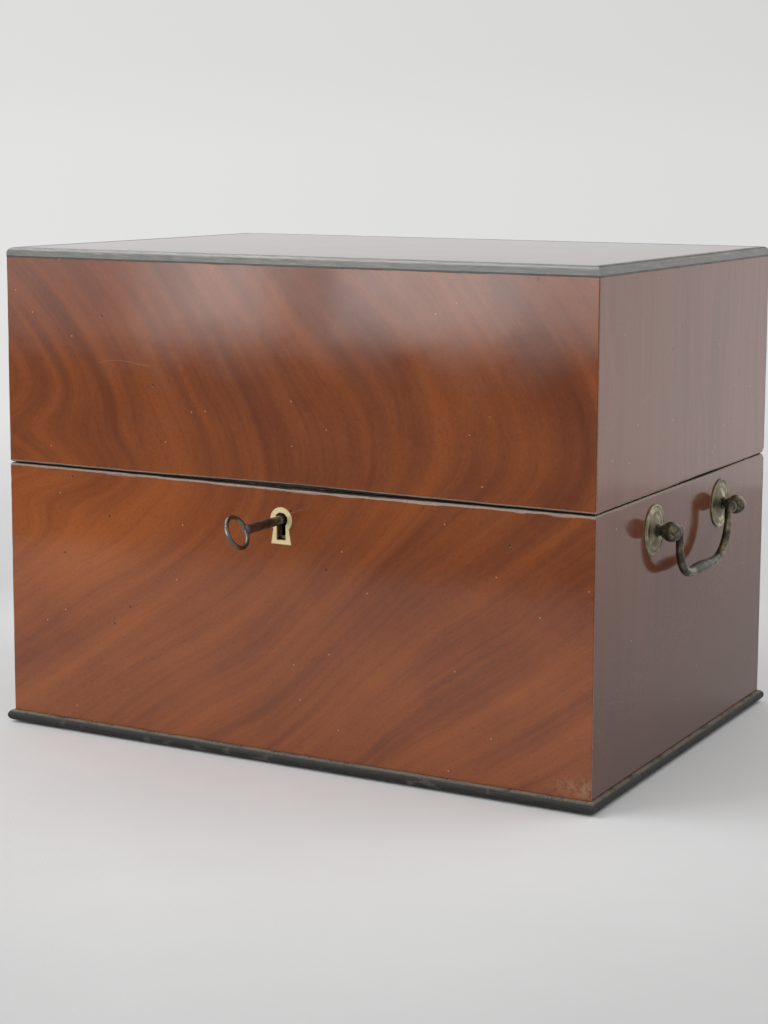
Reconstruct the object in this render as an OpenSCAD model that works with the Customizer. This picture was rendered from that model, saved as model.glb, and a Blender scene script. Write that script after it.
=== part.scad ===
// Veneered mahogany tea caddy with a deep hinged lid, box lock, carrying handles and a fitted inside.
// Millimetres. X runs left to right, the front faces -Y, +Z is up, the origin is the middle of the underside.

/* [Box] */
// Width over the veneered sides
box_width = 350; // [300:5:420]
// Depth over the veneered front and back
box_depth = 246; // [204:2:300]
// Height from the table to the top veneer
box_height = 265.5; // [262:0.5:320]
// Height of the case rim above the table
rim_height = 147; // [122:0.5:177]
// Thickness of the solid wall boards
board_thickness = 11; // [10:0.1:13.5]
// Thickness of the veneer on the sides
veneer_thickness = 1; // [0.8:0.1:1.2]
// Gap between the case rim and the closed lid
lid_gap = 0.6; // [0.5:0.1:1]

/* [Trim] */
// Radius of the half-round base moulding
moulding_radius = 3; // [2:0.5:4]
// Width of the ebony strip seen from above
strip_width = 5; // [4:0.5:7]
// Height of the ebony strip seen from the side
strip_height = 5.2; // [4:0.2:7]
// Radius of the rounded outer edge of the ebony strip
strip_round = 3.2; // [1:0.2:3.6]
// Thickness of the baize pad under the case
pad_thickness = 1; // [0.8:0.1:2]

/* [Hinges and lock] */
// Length of each butt hinge
hinge_length = 50; // [36:2:60]
// Distance of each hinge from the middle of the box
hinge_offset = 105; // [80:5:115]
// Depth of the key axis below the case rim
key_drop = 17; // [17:0.5:18]
// Reach of the key bit from the key axis
bit_reach = 8; // [7:0.5:8]
// Travel of the lock bolt for one full turn of the key
bolt_throw = 6; // [4:0.5:6]
// Angle the key has been turned away from upright
key_rest_angle = 25; // [0:5:30]
// Outside diameter of the ring bow of the key
bow_diameter = 18.5; // [15:0.5:24]
// Distance from the case front to the middle of the bow
bow_reach = 42; // [36:1:52]

/* [Handles] */
// Distance between the two posts of a handle
post_spacing = 97; // [84:1:110]
// Drop of the handle posts below the case rim
post_drop = 18.5; // [16:0.5:40]
// Diameter of the round rose plates
rose_diameter = 26.7; // [22:0.5:28]
// Distance from the veneer to the bail pivot
bail_stand_off = 9.5; // [9:0.5:12]
// Drop from the pivot to the middle of the hand grip
bail_drop = 25.5; // [22:0.5:30]

/* [Fitted inside] */
// Width of each tea canister
canister_width = 82; // [66:1:84]
// Depth of each tea canister
canister_depth = 150; // [120:2:160]
// Height the open canisters stand above the case rim
canister_rise = 3; // [-10:0.5:8]
// Outside diameter of the mixing bowl below its rim
bowl_diameter = 100; // [80:2:102]
// Drop of the fitted deck below the case rim
deck_drop = 43; // [36:1:52]

/* [Hidden] */
// overall and wall positions
half_width = box_width / 2;
half_depth = box_depth / 2;
wall = board_thickness + veneer_thickness;
board_x = half_width - veneer_thickness;
board_y = half_depth - veneer_thickness;
inner_x = half_width - wall;
inner_y = half_depth - wall;
moulding_top = pad_thickness + 2 * moulding_radius;
bottom_board = 9;
floor_top = pad_thickness + bottom_board;
pad_inset = 6;
cut = 1;

// lid
lid_bottom = rim_height + lid_gap;
top_veneer = 0.8;
top_board = 9.7;
top_under = box_height - top_veneer - top_board;
strip_bottom = box_height - strip_height;
lining_thickness = 1;

// hinge line, set in from the back face with chamfers that stop the lid
pivot_inset = 3;
pivot_y = half_depth - pivot_inset;
pivot_z = rim_height + lid_gap / 2;
stop_chamfer = 48.5;
chamfer_run = 10;
knuckle_radius = 2.4;
knuckle_room = 0.35;
hinge_pin_radius = 1.2;
pin_clearance = 0.05;
pin_head_radius = 1.8;
pin_head_height = 0.8;
leaf_thickness = 1.6;
leaf_start = inner_y + 0.4;
knuckle_gap = 0.2;
knuckle_third = hinge_length / 3;

// screws
screw_radius = 1.1;
screw_head_radius = 2;
screw_head_height = 1;
screw_length = 8;
hinge_screw_y = leaf_start + 2.9;
hinge_screw_step = hinge_length / 3;

// lock
key_z = rim_height - key_drop;
plate_half = 41;
plate_thickness = 1.5;
plate_bottom = key_z - 12;
plate_front = inner_y + plate_thickness;
selvedge_thickness = 1.6;
selvedge_front = inner_y + 9;
cap_half = 35;
cap_wall = 1.2;
cap_bottom = key_z - 10;
cap_front = inner_y + 9;
cap_clearance = 0.2;
lock_middle = inner_y + 4.6;
loop_offset = 21;
loop_thickness = 2;
loop_depth = 5.2;
loop_room = 0.4;
bolt_thickness = 2.5;
sweep_room = 0.6;
bridge_bottom = key_z + bit_reach + sweep_room;
bridge_height = 4;
bolt_top = bridge_bottom + bridge_height;
finger_bottom = bridge_bottom + 1;
loop_bottom = finger_bottom - 2.2;
eye_bottom = finger_bottom - 0.4;
eye_height = bolt_top + 0.4 - eye_bottom;
eye_depth = 3.4;
lobe_bottom = key_z - 1.5;
lobe_top = loop_bottom - 0.6;
lobe_inner = bit_reach + 0.8;
finger_gap = 0.6;
finger_tip = loop_offset - loop_thickness / 2 - finger_gap;
finger_length = bolt_throw + 0.4;
post_width = 1.9;
lobe_left_end = 27;
notch_right = lobe_inner + bolt_throw;
lobe_right_end = 33;
stud_radius = 1.3;
stud_room = 0.15;
stud_z = (lobe_bottom + lobe_top) / 2;
stud_left = -22.5;
stud_right = 21.5;
drill_pin_radius = 1.2;
drill_pin_length = 7;

// key and keyhole
barrel_radius = 2.5;
pipe_depth = 10;
bit_thickness = 2;
bit_width = 4;
bow_wire = 1.15;
key_tip = plate_front + 0.5;
hole_radius = 3.8;
slot_width = 5.5;
slot_depth = 10.6;
scutcheon_radius = 6.5;
scutcheon_foot = 5.9;
scutcheon_neck = 4.6;
scutcheon_drop = 12.6;
neck_drop = 4.5;
cap_hole_radius = barrel_radius + 0.3;
cap_slot_width = bit_thickness + 1;

// handles
post_height = rim_height - post_drop;
rose_thickness = 2.2;
rose_edge = 0.9;
neck_radius = 2.6;
ball_radius = 5.2;
shank_radius = 2;
nut_radius = 4.6;
nut_height = 3;
nut_room = 0.6;
eye_radius = 3.2;
eye_length = 4.6;
bail_pin_radius = 1.6;
socket_depth = 3.4;
arm_radius = 2;
grip_radius = 3.3;
bail_crank = 1.7;
arm_reach = post_spacing / 2 - ball_radius - 0.5 - eye_length - bail_crank;
bend_radius = 20;
handle_y = 1;

// inside
bowl_flange = 7;
partition_x = bowl_diameter / 2 + bowl_flange + 3;
partition_thickness = 8;
deck_thickness = 8;
deck_top = rim_height - deck_drop;
canister_x = (partition_x + partition_thickness + inner_x) / 2;
fit_room = 0.5;
rest_room = 0.1;
canister_wall = 6;
liner_thickness = 0.8;
canister_bottom = floor_top + lining_thickness + rest_room;
canister_top = rim_height + canister_rise + rest_room;
canister_lid_height = 6;
plug_height = 3;
knob_height = 15;
bowl_wall = 3.5;
flange_height = 3;
bowl_under = 11;
bowl_hole = bowl_diameter / 2 + 2;
bowl_rest = deck_top + rest_room;
bowl_low = floor_top + lining_thickness + bowl_under;
bowl_depth = bowl_rest - bowl_low;

mahogany = [0.52, 0.25, 0.13];
dark_mahogany = [0.36, 0.17, 0.10];
ebony = [0.14, 0.13, 0.12];
brass = [0.72, 0.60, 0.34];
old_brass = [0.42, 0.38, 0.27];
steel = [0.20, 0.17, 0.15];
baize = [0.16, 0.30, 0.22];
velvet = [0.38, 0.09, 0.13];
tin = [0.62, 0.62, 0.60];
glass = [0.86, 0.92, 0.92];

// a block given by its low corner and its high corner
module block(low, high) {
    translate(low) cube(high - low);
}

// a rod along X, Y or Z between two positions
module rod_x(x1, x2, y, z, radius) {
    translate([x1, y, z]) rotate([0, 90, 0]) cylinder(r = radius, h = x2 - x1, $fn = 48);
}

module rod_y(y1, y2, x, z, radius) {
    translate([x, y1, z]) rotate([-90, 0, 0]) cylinder(r = radius, h = y2 - y1, $fn = 48);
}

module rod_z(z1, z2, x, y, radius) {
    translate([x, y, z1]) cylinder(r = radius, h = z2 - z1, $fn = 48);
}

// countersunk screw pointing down from the surface it is driven into
module screw() {
    translate([0, 0, -screw_head_height])
        cylinder(r1 = screw_radius, r2 = screw_head_radius, h = screw_head_height, $fn = 32);
    translate([0, 0, -screw_length]) cylinder(r = screw_radius, h = screw_length, $fn = 32);
}

module hinge_places() {
    for (side = [-1, 1]) translate([side * hinge_offset, 0, 0]) children();
}

module hinge_screws_down() {
    hinge_places()
        for (step = [-1, 0, 1]) translate([step * hinge_screw_step, hinge_screw_y, rim_height]) screw();
}

module hinge_screws_up() {
    hinge_places()
        for (step = [-1, 0, 1])
            translate([step * hinge_screw_step, hinge_screw_y, lid_bottom]) rotate([180, 0, 0]) screw();
}

module lock_screw_set() {
    for (side = [-1, 1]) {
        for (height = [plate_bottom + 4, rim_height - 12])
            translate([side * (plate_half - 2.8), -inner_y, height]) rotate([-90, 0, 0]) screw();
        translate([side * (plate_half - 2.8), -lock_middle - 1.4, rim_height]) screw();
    }
}

module link_screw_set() {
    for (place = [-1, 0, 1])
        translate([place * (plate_half - 4), -lock_middle, lid_bottom]) rotate([180, 0, 0]) screw();
}

// the wedge cut from the back edges so that the lid stops just past upright
module case_stop_cut() {
    drop = chamfer_run * tan(stop_chamfer);
    translate([-half_width - cut, 0, 0]) rotate([90, 0, 90])
        linear_extrude(box_width + 2 * cut)
            polygon([[pivot_y, pivot_z], [pivot_y + chamfer_run, pivot_z - drop],
                [pivot_y + chamfer_run, pivot_z + 5], [pivot_y, pivot_z + 5]]);
}

module lid_stop_cut() {
    rise = chamfer_run * tan(stop_chamfer);
    translate([-half_width - cut, 0, 0]) rotate([90, 0, 90])
        linear_extrude(box_width + 2 * cut)
            polygon([[pivot_y, pivot_z], [pivot_y + chamfer_run, pivot_z + rise],
                [pivot_y + chamfer_run, pivot_z - 5], [pivot_y, pivot_z - 5]]);
}

module knuckle_pockets() {
    head_room = pin_head_height + 0.2;
    hinge_places()
        rod_x(-hinge_length / 2, hinge_length / 2, pivot_y, pivot_z, knuckle_radius + knuckle_room);
    hinge_places() for (side = [-1, 1])
        rod_x(side * hinge_length / 2 - head_room, side * hinge_length / 2 + head_room, pivot_y, pivot_z,
            knuckle_radius + knuckle_room);
}

module case_leaf_seats() {
    hinge_places() block([-hinge_length / 2, leaf_start, rim_height - leaf_thickness],
        [hinge_length / 2, pivot_y, rim_height + cut]);
}

module lid_leaf_seats() {
    hinge_places() block([-hinge_length / 2, leaf_start, lid_bottom - cut],
        [hinge_length / 2, pivot_y, lid_bottom + leaf_thickness]);
}

// the opening the key passes through, drawn outwards from a given plane
module keyhole(y_front, y_back, round_radius, width, depth) {
    rod_y(-y_front, -y_back, 0, key_z, round_radius);
    block([-width / 2, -y_front, key_z - depth], [width / 2, -y_back, key_z]);
}

module lock_mortise() {
    block([-plate_half, -plate_front, plate_bottom], [plate_half, -inner_y + cut, rim_height + cut]);
    block([-plate_half, -selvedge_front, rim_height - selvedge_thickness],
        [plate_half, -inner_y + cut, rim_height + cut]);
    block([-cap_half - cap_clearance, -cap_front - cap_clearance, cap_bottom - cap_clearance],
        [cap_half + cap_clearance, -inner_y, rim_height]);
}

// ---- case boards ----
module case_front() {
    color(mahogany) difference() {
        block([-board_x, -board_y, pad_thickness], [board_x, -inner_y, rim_height]);
        lock_mortise();
        keyhole(half_depth, inner_y, hole_radius, slot_width, slot_depth);
        lock_screw_set();
    }
}

module case_back() {
    color(mahogany) difference() {
        block([-board_x, inner_y, pad_thickness], [board_x, board_y, rim_height]);
        case_stop_cut();
        knuckle_pockets();
        case_leaf_seats();
        hinge_screws_down();
    }
}

module case_side() {
    difference() {
        block([inner_x, -inner_y, pad_thickness], [board_x, inner_y, rim_height]);
        for (side = [-1, 1]) {
            rod_x(inner_x - cut, board_x + cut, handle_y + side * post_spacing / 2, post_height,
                shank_radius);
            rod_x(inner_x - cut, inner_x + nut_height, handle_y + side * post_spacing / 2, post_height,
                nut_radius + nut_room);
        }
    }
}

module case_left() {
    color(mahogany) mirror([1, 0, 0]) case_side();
}

module case_right() {
    color(mahogany) case_side();
}

module case_bottom() {
    color(dark_mahogany) block([-inner_x, -inner_y, pad_thickness], [inner_x, inner_y, floor_top]);
}

// ---- case veneers and base ----
module case_veneer_front() {
    color(mahogany) difference() {
        block([-half_width, -half_depth, moulding_top], [half_width, -board_y, rim_height]);
        scutcheon_outline(half_depth + cut, board_y - cut);
    }
}

module case_veneer_back() {
    color(mahogany) difference() {
        block([-half_width, board_y, moulding_top], [half_width, half_depth, rim_height]);
        case_stop_cut();
        knuckle_pockets();
    }
}

module case_veneer_side() {
    difference() {
        block([board_x, -board_y, moulding_top], [half_width, board_y, rim_height]);
        for (side = [-1, 1])
            rod_x(board_x - cut, half_width + cut, handle_y + side * post_spacing / 2, post_height,
                shank_radius);
        case_stop_cut();
    }
}

module case_veneer_left() {
    color(mahogany) mirror([1, 0, 0]) case_veneer_side();
}

module case_veneer_right() {
    color(mahogany) case_veneer_side();
}

// a half-round length lying along X against a board face at y = -face_y
module moulding_length(half_length, face_y) {
    overhang = veneer_thickness + moulding_radius;
    intersection() {
        union() {
            block([-half_length - overhang, -face_y - veneer_thickness, pad_thickness],
                [half_length + overhang, -face_y, moulding_top]);
            rod_x(-half_length - overhang, half_length + overhang, -face_y - veneer_thickness,
                pad_thickness + moulding_radius, moulding_radius);
        }
        translate([0, 0, pad_thickness - cut]) linear_extrude(2 * moulding_radius + 2 * cut)
            polygon([[-half_length - overhang, -face_y - overhang],
                [half_length + overhang, -face_y - overhang],
                [half_length, -face_y], [-half_length, -face_y]]);
    }
}

module base_moulding_front() {
    color(ebony) moulding_length(board_x, board_y);
}

module base_moulding_back() {
    color(ebony) mirror([0, 1, 0]) moulding_length(board_x, board_y);
}

module base_moulding_left() {
    color(ebony) rotate([0, 0, -90]) moulding_length(board_y, board_x);
}

module base_moulding_right() {
    color(ebony) rotate([0, 0, 90]) moulding_length(board_y, board_x);
}

module base_pad() {
    color(baize) block([-half_width + pad_inset, -half_depth + pad_inset, 0],
        [half_width - pad_inset, half_depth - pad_inset, pad_thickness]);
}

// ---- lock ----
module scutcheon_outline(y_front, y_back) {
    rod_y(-y_front, -y_back, 0, key_z, scutcheon_radius);
    translate([0, -y_back, 0]) rotate([90, 0, 0]) linear_extrude(y_front - y_back)
        polygon([[-scutcheon_neck, key_z], [scutcheon_neck, key_z], [scutcheon_neck, key_z - neck_drop],
            [scutcheon_foot, key_z - scutcheon_drop], [-scutcheon_foot, key_z - scutcheon_drop],
            [-scutcheon_neck, key_z - neck_drop]]);
}

module escutcheon() {
    color(brass) difference() {
        scutcheon_outline(half_depth, board_y);
        keyhole(half_depth + cut, board_y - cut, hole_radius, slot_width, slot_depth);
    }
}

module loop_slot() {
    slot_x = loop_thickness / 2 + loop_room;
    slot_y = loop_depth / 2 + loop_room;
    block([-slot_x, -slot_y, -selvedge_thickness - cut], [slot_x, slot_y, cut]);
}

module lock_plate() {
    color(brass) difference() {
        union() {
            block([-plate_half, -plate_front, plate_bottom], [plate_half, -inner_y, rim_height]);
            block([-plate_half, -selvedge_front, rim_height - selvedge_thickness],
                [plate_half, -inner_y, rim_height]);
            rod_y(-plate_front - drill_pin_length, -inner_y, 0, key_z, drill_pin_radius);
            rod_y(-cap_front + cap_wall, -inner_y, stud_left, stud_z, stud_radius);
            rod_y(-cap_front + cap_wall, -inner_y, stud_right, stud_z, stud_radius);
        }
        for (side = [-1, 1])
            translate([side * loop_offset, -lock_middle, rim_height]) loop_slot();
        lock_screw_set();
    }
}

module lock_cap() {
    color(old_brass) difference() {
        block([-cap_half, -cap_front, cap_bottom], [cap_half, -plate_front, rim_height - selvedge_thickness]);
        block([-cap_half + cap_wall, -cap_front + cap_wall, cap_bottom + cap_wall],
            [cap_half - cap_wall, -plate_front + cut, rim_height]);
        keyhole(cap_front + cut, cap_front - cap_wall - cut, cap_hole_radius, cap_slot_width,
            bit_reach + 0.6);
    }
}

module stud_slot(x) {
    back = 0.6 + stud_radius + stud_room;
    ahead = bolt_throw + stud_radius;
    block([x - back, -lock_middle - bolt_thickness, stud_z - stud_radius - stud_room],
        [x + ahead, -lock_middle + bolt_thickness, stud_z + stud_radius + stud_room]);
}

module lock_bolt() {
    near = -lock_middle - bolt_thickness / 2;
    far = -lock_middle + bolt_thickness / 2;
    left_post = -finger_tip + finger_length;
    right_tip = loop_offset + loop_thickness / 2 + finger_gap;
    color(steel) difference() {
        union() {
            block([-lobe_left_end, near, lobe_bottom], [-lobe_inner, far, lobe_top]);
            block([left_post, near, lobe_bottom], [-lobe_inner, far, bolt_top]);
            block([-finger_tip, near, finger_bottom], [-lobe_inner, far, bolt_top]);
            block([-lobe_inner, near, bridge_bottom], [notch_right + post_width, far, bolt_top]);
            block([notch_right, near, lobe_bottom], [notch_right + post_width, far, bolt_top]);
            block([notch_right, near, lobe_bottom], [lobe_right_end, far, lobe_top]);
            block([right_tip, near, finger_bottom], [right_tip + finger_length + post_width, far, bolt_top]);
            block([right_tip + finger_length, near, lobe_bottom],
                [right_tip + finger_length + post_width, far, bolt_top]);
        }
        stud_slot(stud_left);
        stud_slot(stud_right);
    }
}

module link_plate() {
    color(brass) difference() {
        union() {
            block([-plate_half, -selvedge_front, lid_bottom],
                [plate_half, -inner_y, lid_bottom + selvedge_thickness]);
            for (side = [-1, 1])
                block([side * loop_offset - loop_thickness / 2, -lock_middle - loop_depth / 2, loop_bottom],
                    [side * loop_offset + loop_thickness / 2, -lock_middle + loop_depth / 2,
                        lid_bottom + selvedge_thickness]);
        }
        for (side = [-1, 1])
            block([side * loop_offset - loop_thickness, -lock_middle - eye_depth / 2, eye_bottom],
                [side * loop_offset + loop_thickness, -lock_middle + eye_depth / 2, eye_bottom + eye_height]);
        link_screw_set();
    }
}

module key() {
    bow_y = half_depth + bow_reach;
    bow_middle = bow_diameter / 2 - bow_wire;
    shank_end = bow_y - bow_middle;
    color(steel) translate([0, 0, key_z]) rotate([0, -key_rest_angle, 0]) {
        difference() {
            union() {
                rod_y(-shank_end, -key_tip, 0, 0, barrel_radius);
                rod_y(-shank_end + 2, -shank_end + 4, 0, 0, barrel_radius + 0.9);
                rod_y(-half_depth - 12, -half_depth - 10.5, 0, 0, barrel_radius + 0.5);
                block([-bit_thickness / 2, -key_tip - 0.6 - bit_width, -bit_reach],
                    [bit_thickness / 2, -key_tip - 0.6, 0]);
            }
            rod_y(-key_tip - pipe_depth, -key_tip + cut, 0, 0, drill_pin_radius + pin_clearance);
        }
        translate([0, -bow_y, 0]) rotate([0, 90, 0]) rotate_extrude($fn = 72)
            translate([bow_middle, 0]) circle(r = bow_wire, $fn = 24);
    }
}

// ---- hinges ----
module hinge_case_leaves() {
    color(brass) difference() {
        hinge_places() {
            block([-hinge_length / 2, leaf_start, rim_height - leaf_thickness],
                [hinge_length / 2, pivot_y, rim_height]);
            rod_x(-hinge_length / 2, -knuckle_third / 2 - knuckle_gap, pivot_y, pivot_z, knuckle_radius);
            rod_x(knuckle_third / 2 + knuckle_gap, hinge_length / 2, pivot_y, pivot_z, knuckle_radius);
        }
        hinge_places() {
            rod_x(-knuckle_third / 2 - knuckle_gap, knuckle_third / 2 + knuckle_gap, pivot_y, pivot_z,
                knuckle_radius + knuckle_room);
            rod_x(-hinge_length / 2 - cut, hinge_length / 2 + cut, pivot_y, pivot_z,
                hinge_pin_radius + pin_clearance);
        }
        hinge_screws_down();
    }
}

module hinge_lid_leaves() {
    color(brass) difference() {
        hinge_places() {
            block([-hinge_length / 2, leaf_start, lid_bottom],
                [hinge_length / 2, pivot_y, lid_bottom + leaf_thickness]);
            rod_x(-knuckle_third / 2 + knuckle_gap, knuckle_third / 2 - knuckle_gap, pivot_y, pivot_z,
                knuckle_radius);
        }
        hinge_places() {
            for (side = [-1, 1])
                rod_x(side * knuckle_third - knuckle_third / 2 - knuckle_gap,
                    side * knuckle_third + knuckle_third / 2 + knuckle_gap, pivot_y, pivot_z,
                    knuckle_radius + knuckle_room);
            rod_x(-hinge_length / 2 - cut, hinge_length / 2 + cut, pivot_y, pivot_z,
                hinge_pin_radius + pin_clearance);
        }
        hinge_screws_up();
    }
}

module hinge_pins() {
    color(old_brass) hinge_places() {
        rod_x(-hinge_length / 2, hinge_length / 2, pivot_y, pivot_z, hinge_pin_radius);
        for (side = [-1, 1])
            rod_x(side * (hinge_length + pin_head_height) / 2 - pin_head_height / 2,
                side * (hinge_length + pin_head_height) / 2 + pin_head_height / 2, pivot_y, pivot_z,
                pin_head_radius);
    }
}

module case_screws() {
    color(old_brass) {
        hinge_screws_down();
        lock_screw_set();
    }
}

module lid_screws() {
    color(old_brass) {
        hinge_screws_up();
        link_screw_set();
    }
}

// ---- handles ----
module both_sides() {
    children();
    mirror([1, 0, 0]) children();
}

// stand at a post foot with Z pointing away from the side of the case
module post_places() {
    for (side = [-1, 1])
        translate([half_width, handle_y + side * post_spacing / 2, post_height]) rotate([0, 90, 0])
            children();
}

module rose() {
    rose_radius = rose_diameter / 2;
    rotate_extrude($fn = 64)
        polygon([[shank_radius, 0], [rose_radius, 0], [rose_radius, rose_edge * 0.6],
            [rose_radius - 0.6, rose_edge], [rose_radius - 2.2, rose_edge],
            [rose_radius - 3, rose_edge * 0.7], [rose_radius * 0.55, rose_edge],
            [neck_radius + 1.6, rose_thickness], [shank_radius, rose_thickness]]);
}

module handle_roses() {
    color(old_brass) both_sides() post_places() rose();
}

module post() {
    cylinder(r = neck_radius + 0.8, h = 0.8, $fn = 48);
    cylinder(r = neck_radius, h = bail_stand_off - rose_thickness, $fn = 48);
    translate([0, 0, bail_stand_off - rose_thickness]) sphere(r = ball_radius, $fn = 48);
    translate([0, 0, -rose_thickness - wall + nut_room])
        cylinder(r = shank_radius, h = rose_thickness + wall, $fn = 48);
}

module handle_posts() {
    color(old_brass) both_sides() difference() {
        post_places() translate([0, 0, rose_thickness]) post();
        for (side = [-1, 1]) {
            inner_face = post_spacing / 2 - ball_radius;
            middle = handle_y + side * (inner_face + socket_depth / 2 - cut);
            rod_y(middle - socket_depth / 2 - cut, middle + socket_depth / 2 + cut,
                half_width + bail_stand_off, post_height, bail_pin_radius + pin_clearance);
        }
    }
}

module handle_nuts() {
    color(old_brass) both_sides() post_places() translate([0, 0, -wall]) difference() {
        cylinder(r = nut_radius, h = nut_height, $fn = 6);
        translate([0, 0, -cut]) cylinder(r = shank_radius, h = nut_height + 2 * cut, $fn = 48);
    }
}

// half of a bail on the +Y side, pivot line along Y through the origin, hanging down
module bail_half() {
    pin_end = post_spacing / 2 - ball_radius + socket_depth - 2 * cut - 0.3;
    bend_y = arm_reach - bend_radius;
    bend_z = -(bail_drop - bend_radius);
    rod_y(arm_reach, pin_end, 0, 0, bail_pin_radius);
    rod_y(arm_reach + bail_crank, arm_reach + bail_crank + eye_length, 0, 0, eye_radius);
    rod_y(arm_reach, arm_reach + bail_crank + 1, 0, 0, arm_radius);
    translate([0, arm_reach, 0]) sphere(r = arm_radius * 1.08, $fn = 32);
    rod_z(bend_z, 0, 0, arm_reach, arm_radius);
    translate([0, bend_y, bend_z]) rotate([0, 90, 0]) rotate_extrude(angle = 90, $fn = 96)
        translate([bend_radius, 0]) circle(r = arm_radius, $fn = 24);
    translate([0, 0, -bail_drop]) rotate([-90, 0, 0]) rotate_extrude($fn = 48)
        polygon([[0, 0], [grip_radius, 0], [grip_radius, bend_y * 0.3], [grip_radius * 0.9, bend_y * 0.6],
            [arm_radius * 1.15, bend_y * 0.85], [arm_radius, bend_y], [0, bend_y]]);
}

module bail() {
    translate([half_width + bail_stand_off, handle_y, post_height]) {
        bail_half();
        mirror([0, 1, 0]) bail_half();
    }
}

module bail_right() {
    color(old_brass) bail();
}

module bail_left() {
    color(old_brass) mirror([1, 0, 0]) bail();
}

// ---- fitted inside ----
module partition_board() {
    block([partition_x, -inner_y, floor_top],
        [partition_x + partition_thickness, inner_y, deck_top - deck_thickness]);
}

module partition_left() {
    color(dark_mahogany) mirror([1, 0, 0]) partition_board();
}

module partition_right() {
    color(dark_mahogany) partition_board();
}

module fitted_deck() {
    opening_x = canister_width / 2 + fit_room;
    opening_y = canister_depth / 2 + fit_room;
    color(mahogany) difference() {
        block([-inner_x, -inner_y, deck_top - deck_thickness], [inner_x, inner_y, deck_top]);
        for (side = [-1, 1])
            block([side * canister_x - opening_x, -opening_y, deck_top - deck_thickness - cut],
                [side * canister_x + opening_x, opening_y, deck_top + cut]);
        rod_z(deck_top - deck_thickness - cut, deck_top + cut, 0, 0, bowl_hole);
    }
}

module bay_pads() {
    pad_edge = partition_x + partition_thickness;
    color(velvet) {
        block([-inner_x, -inner_y, floor_top], [-pad_edge, inner_y, floor_top + lining_thickness]);
        block([-partition_x, -inner_y, floor_top], [partition_x, inner_y, floor_top + lining_thickness]);
        block([pad_edge, -inner_y, floor_top], [inner_x, inner_y, floor_top + lining_thickness]);
    }
}

module canister_box() {
    reach_x = canister_width / 2;
    reach_y = canister_depth / 2;
    translate([canister_x, 0, 0]) difference() {
        block([-reach_x, -reach_y, canister_bottom], [reach_x, reach_y, canister_top]);
        block([-reach_x + canister_wall, -reach_y + canister_wall, canister_bottom + canister_wall],
            [reach_x - canister_wall, reach_y - canister_wall, canister_top + cut]);
    }
}

module canister_liner() {
    reach_x = canister_width / 2 - canister_wall;
    reach_y = canister_depth / 2 - canister_wall;
    base = canister_bottom + canister_wall;
    translate([canister_x, 0, 0]) difference() {
        block([-reach_x, -reach_y, base], [reach_x, reach_y, canister_top - 0.4]);
        block([-reach_x + liner_thickness, -reach_y + liner_thickness, base + liner_thickness],
            [reach_x - liner_thickness, reach_y - liner_thickness, canister_top + cut]);
    }
}

module canister_lid() {
    reach_x = canister_width / 2;
    reach_y = canister_depth / 2;
    inset = canister_wall + liner_thickness + fit_room;
    base = canister_top + rest_room;
    translate([canister_x, 0, 0]) {
        block([-reach_x, -reach_y, base], [reach_x, reach_y, base + canister_lid_height]);
        block([-reach_x + inset, -reach_y + inset, base - plug_height],
            [reach_x - inset, reach_y - inset, base + cut]);
    }
}

module canister_knob() {
    translate([canister_x, 0, canister_top + rest_room + canister_lid_height]) rotate_extrude($fn = 48)
        polygon([[0, 0], [6.5, 0], [6.5, 1.2], [3.4, 2.4], [2.6, 4.6], [4.4, 6.6], [7, 8.4], [7.8, 10.6],
            [7, 12.8], [4.2, 14.4], [0, knob_height]]);
}

module canister_left_box() {
    color(dark_mahogany) mirror([1, 0, 0]) canister_box();
}

module canister_left_liner() {
    color(tin) mirror([1, 0, 0]) canister_liner();
}

module canister_left_lid() {
    color(dark_mahogany) mirror([1, 0, 0]) canister_lid();
}

module canister_left_knob() {
    color(ebony) mirror([1, 0, 0]) canister_knob();
}

module canister_right_box() {
    color(dark_mahogany) canister_box();
}

module canister_right_liner() {
    color(tin) canister_liner();
}

module canister_right_lid() {
    color(dark_mahogany) canister_lid();
}

module canister_right_knob() {
    color(ebony) canister_knob();
}

module mixing_bowl() {
    radius = bowl_diameter / 2;
    low = bowl_low;
    belly = low + bowl_depth * 0.27;
    waist = low + bowl_depth * 0.56;
    shoulder = low + bowl_depth * 0.85;
    rim = bowl_rest + flange_height + 6;
    color(glass) rotate_extrude($fn = 72)
        polygon([[0, low + 3], [radius * 0.42, low + 3], [radius * 0.44, low], [radius * 0.56, low],
            [radius * 0.58, low + 4], [radius * 0.82, belly], [radius * 0.95, waist], [radius, shoulder],
            [radius, bowl_rest], [radius + bowl_flange, bowl_rest],
            [radius + bowl_flange, bowl_rest + flange_height], [radius + 1, rim],
            [radius - bowl_wall, rim], [radius - bowl_wall, shoulder], [radius * 0.95 - bowl_wall, waist],
            [radius * 0.82 - bowl_wall, belly + 3], [radius * 0.5, low + 10], [0, low + 8]]);
}

// ---- lid ----
module lid_front() {
    color(mahogany) difference() {
        block([-board_x, -board_y, lid_bottom], [board_x, -inner_y, top_under]);
        block([-plate_half, -selvedge_front, lid_bottom - cut],
            [plate_half, -inner_y + cut, lid_bottom + selvedge_thickness]);
        link_screw_set();
    }
}

module lid_back() {
    color(mahogany) difference() {
        block([-board_x, inner_y, lid_bottom], [board_x, board_y, top_under]);
        lid_stop_cut();
        knuckle_pockets();
        lid_leaf_seats();
        hinge_screws_up();
    }
}

module lid_left() {
    color(mahogany) block([-board_x, -inner_y, lid_bottom], [-inner_x, inner_y, top_under]);
}

module lid_right() {
    color(mahogany) block([inner_x, -inner_y, lid_bottom], [board_x, inner_y, top_under]);
}

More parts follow.
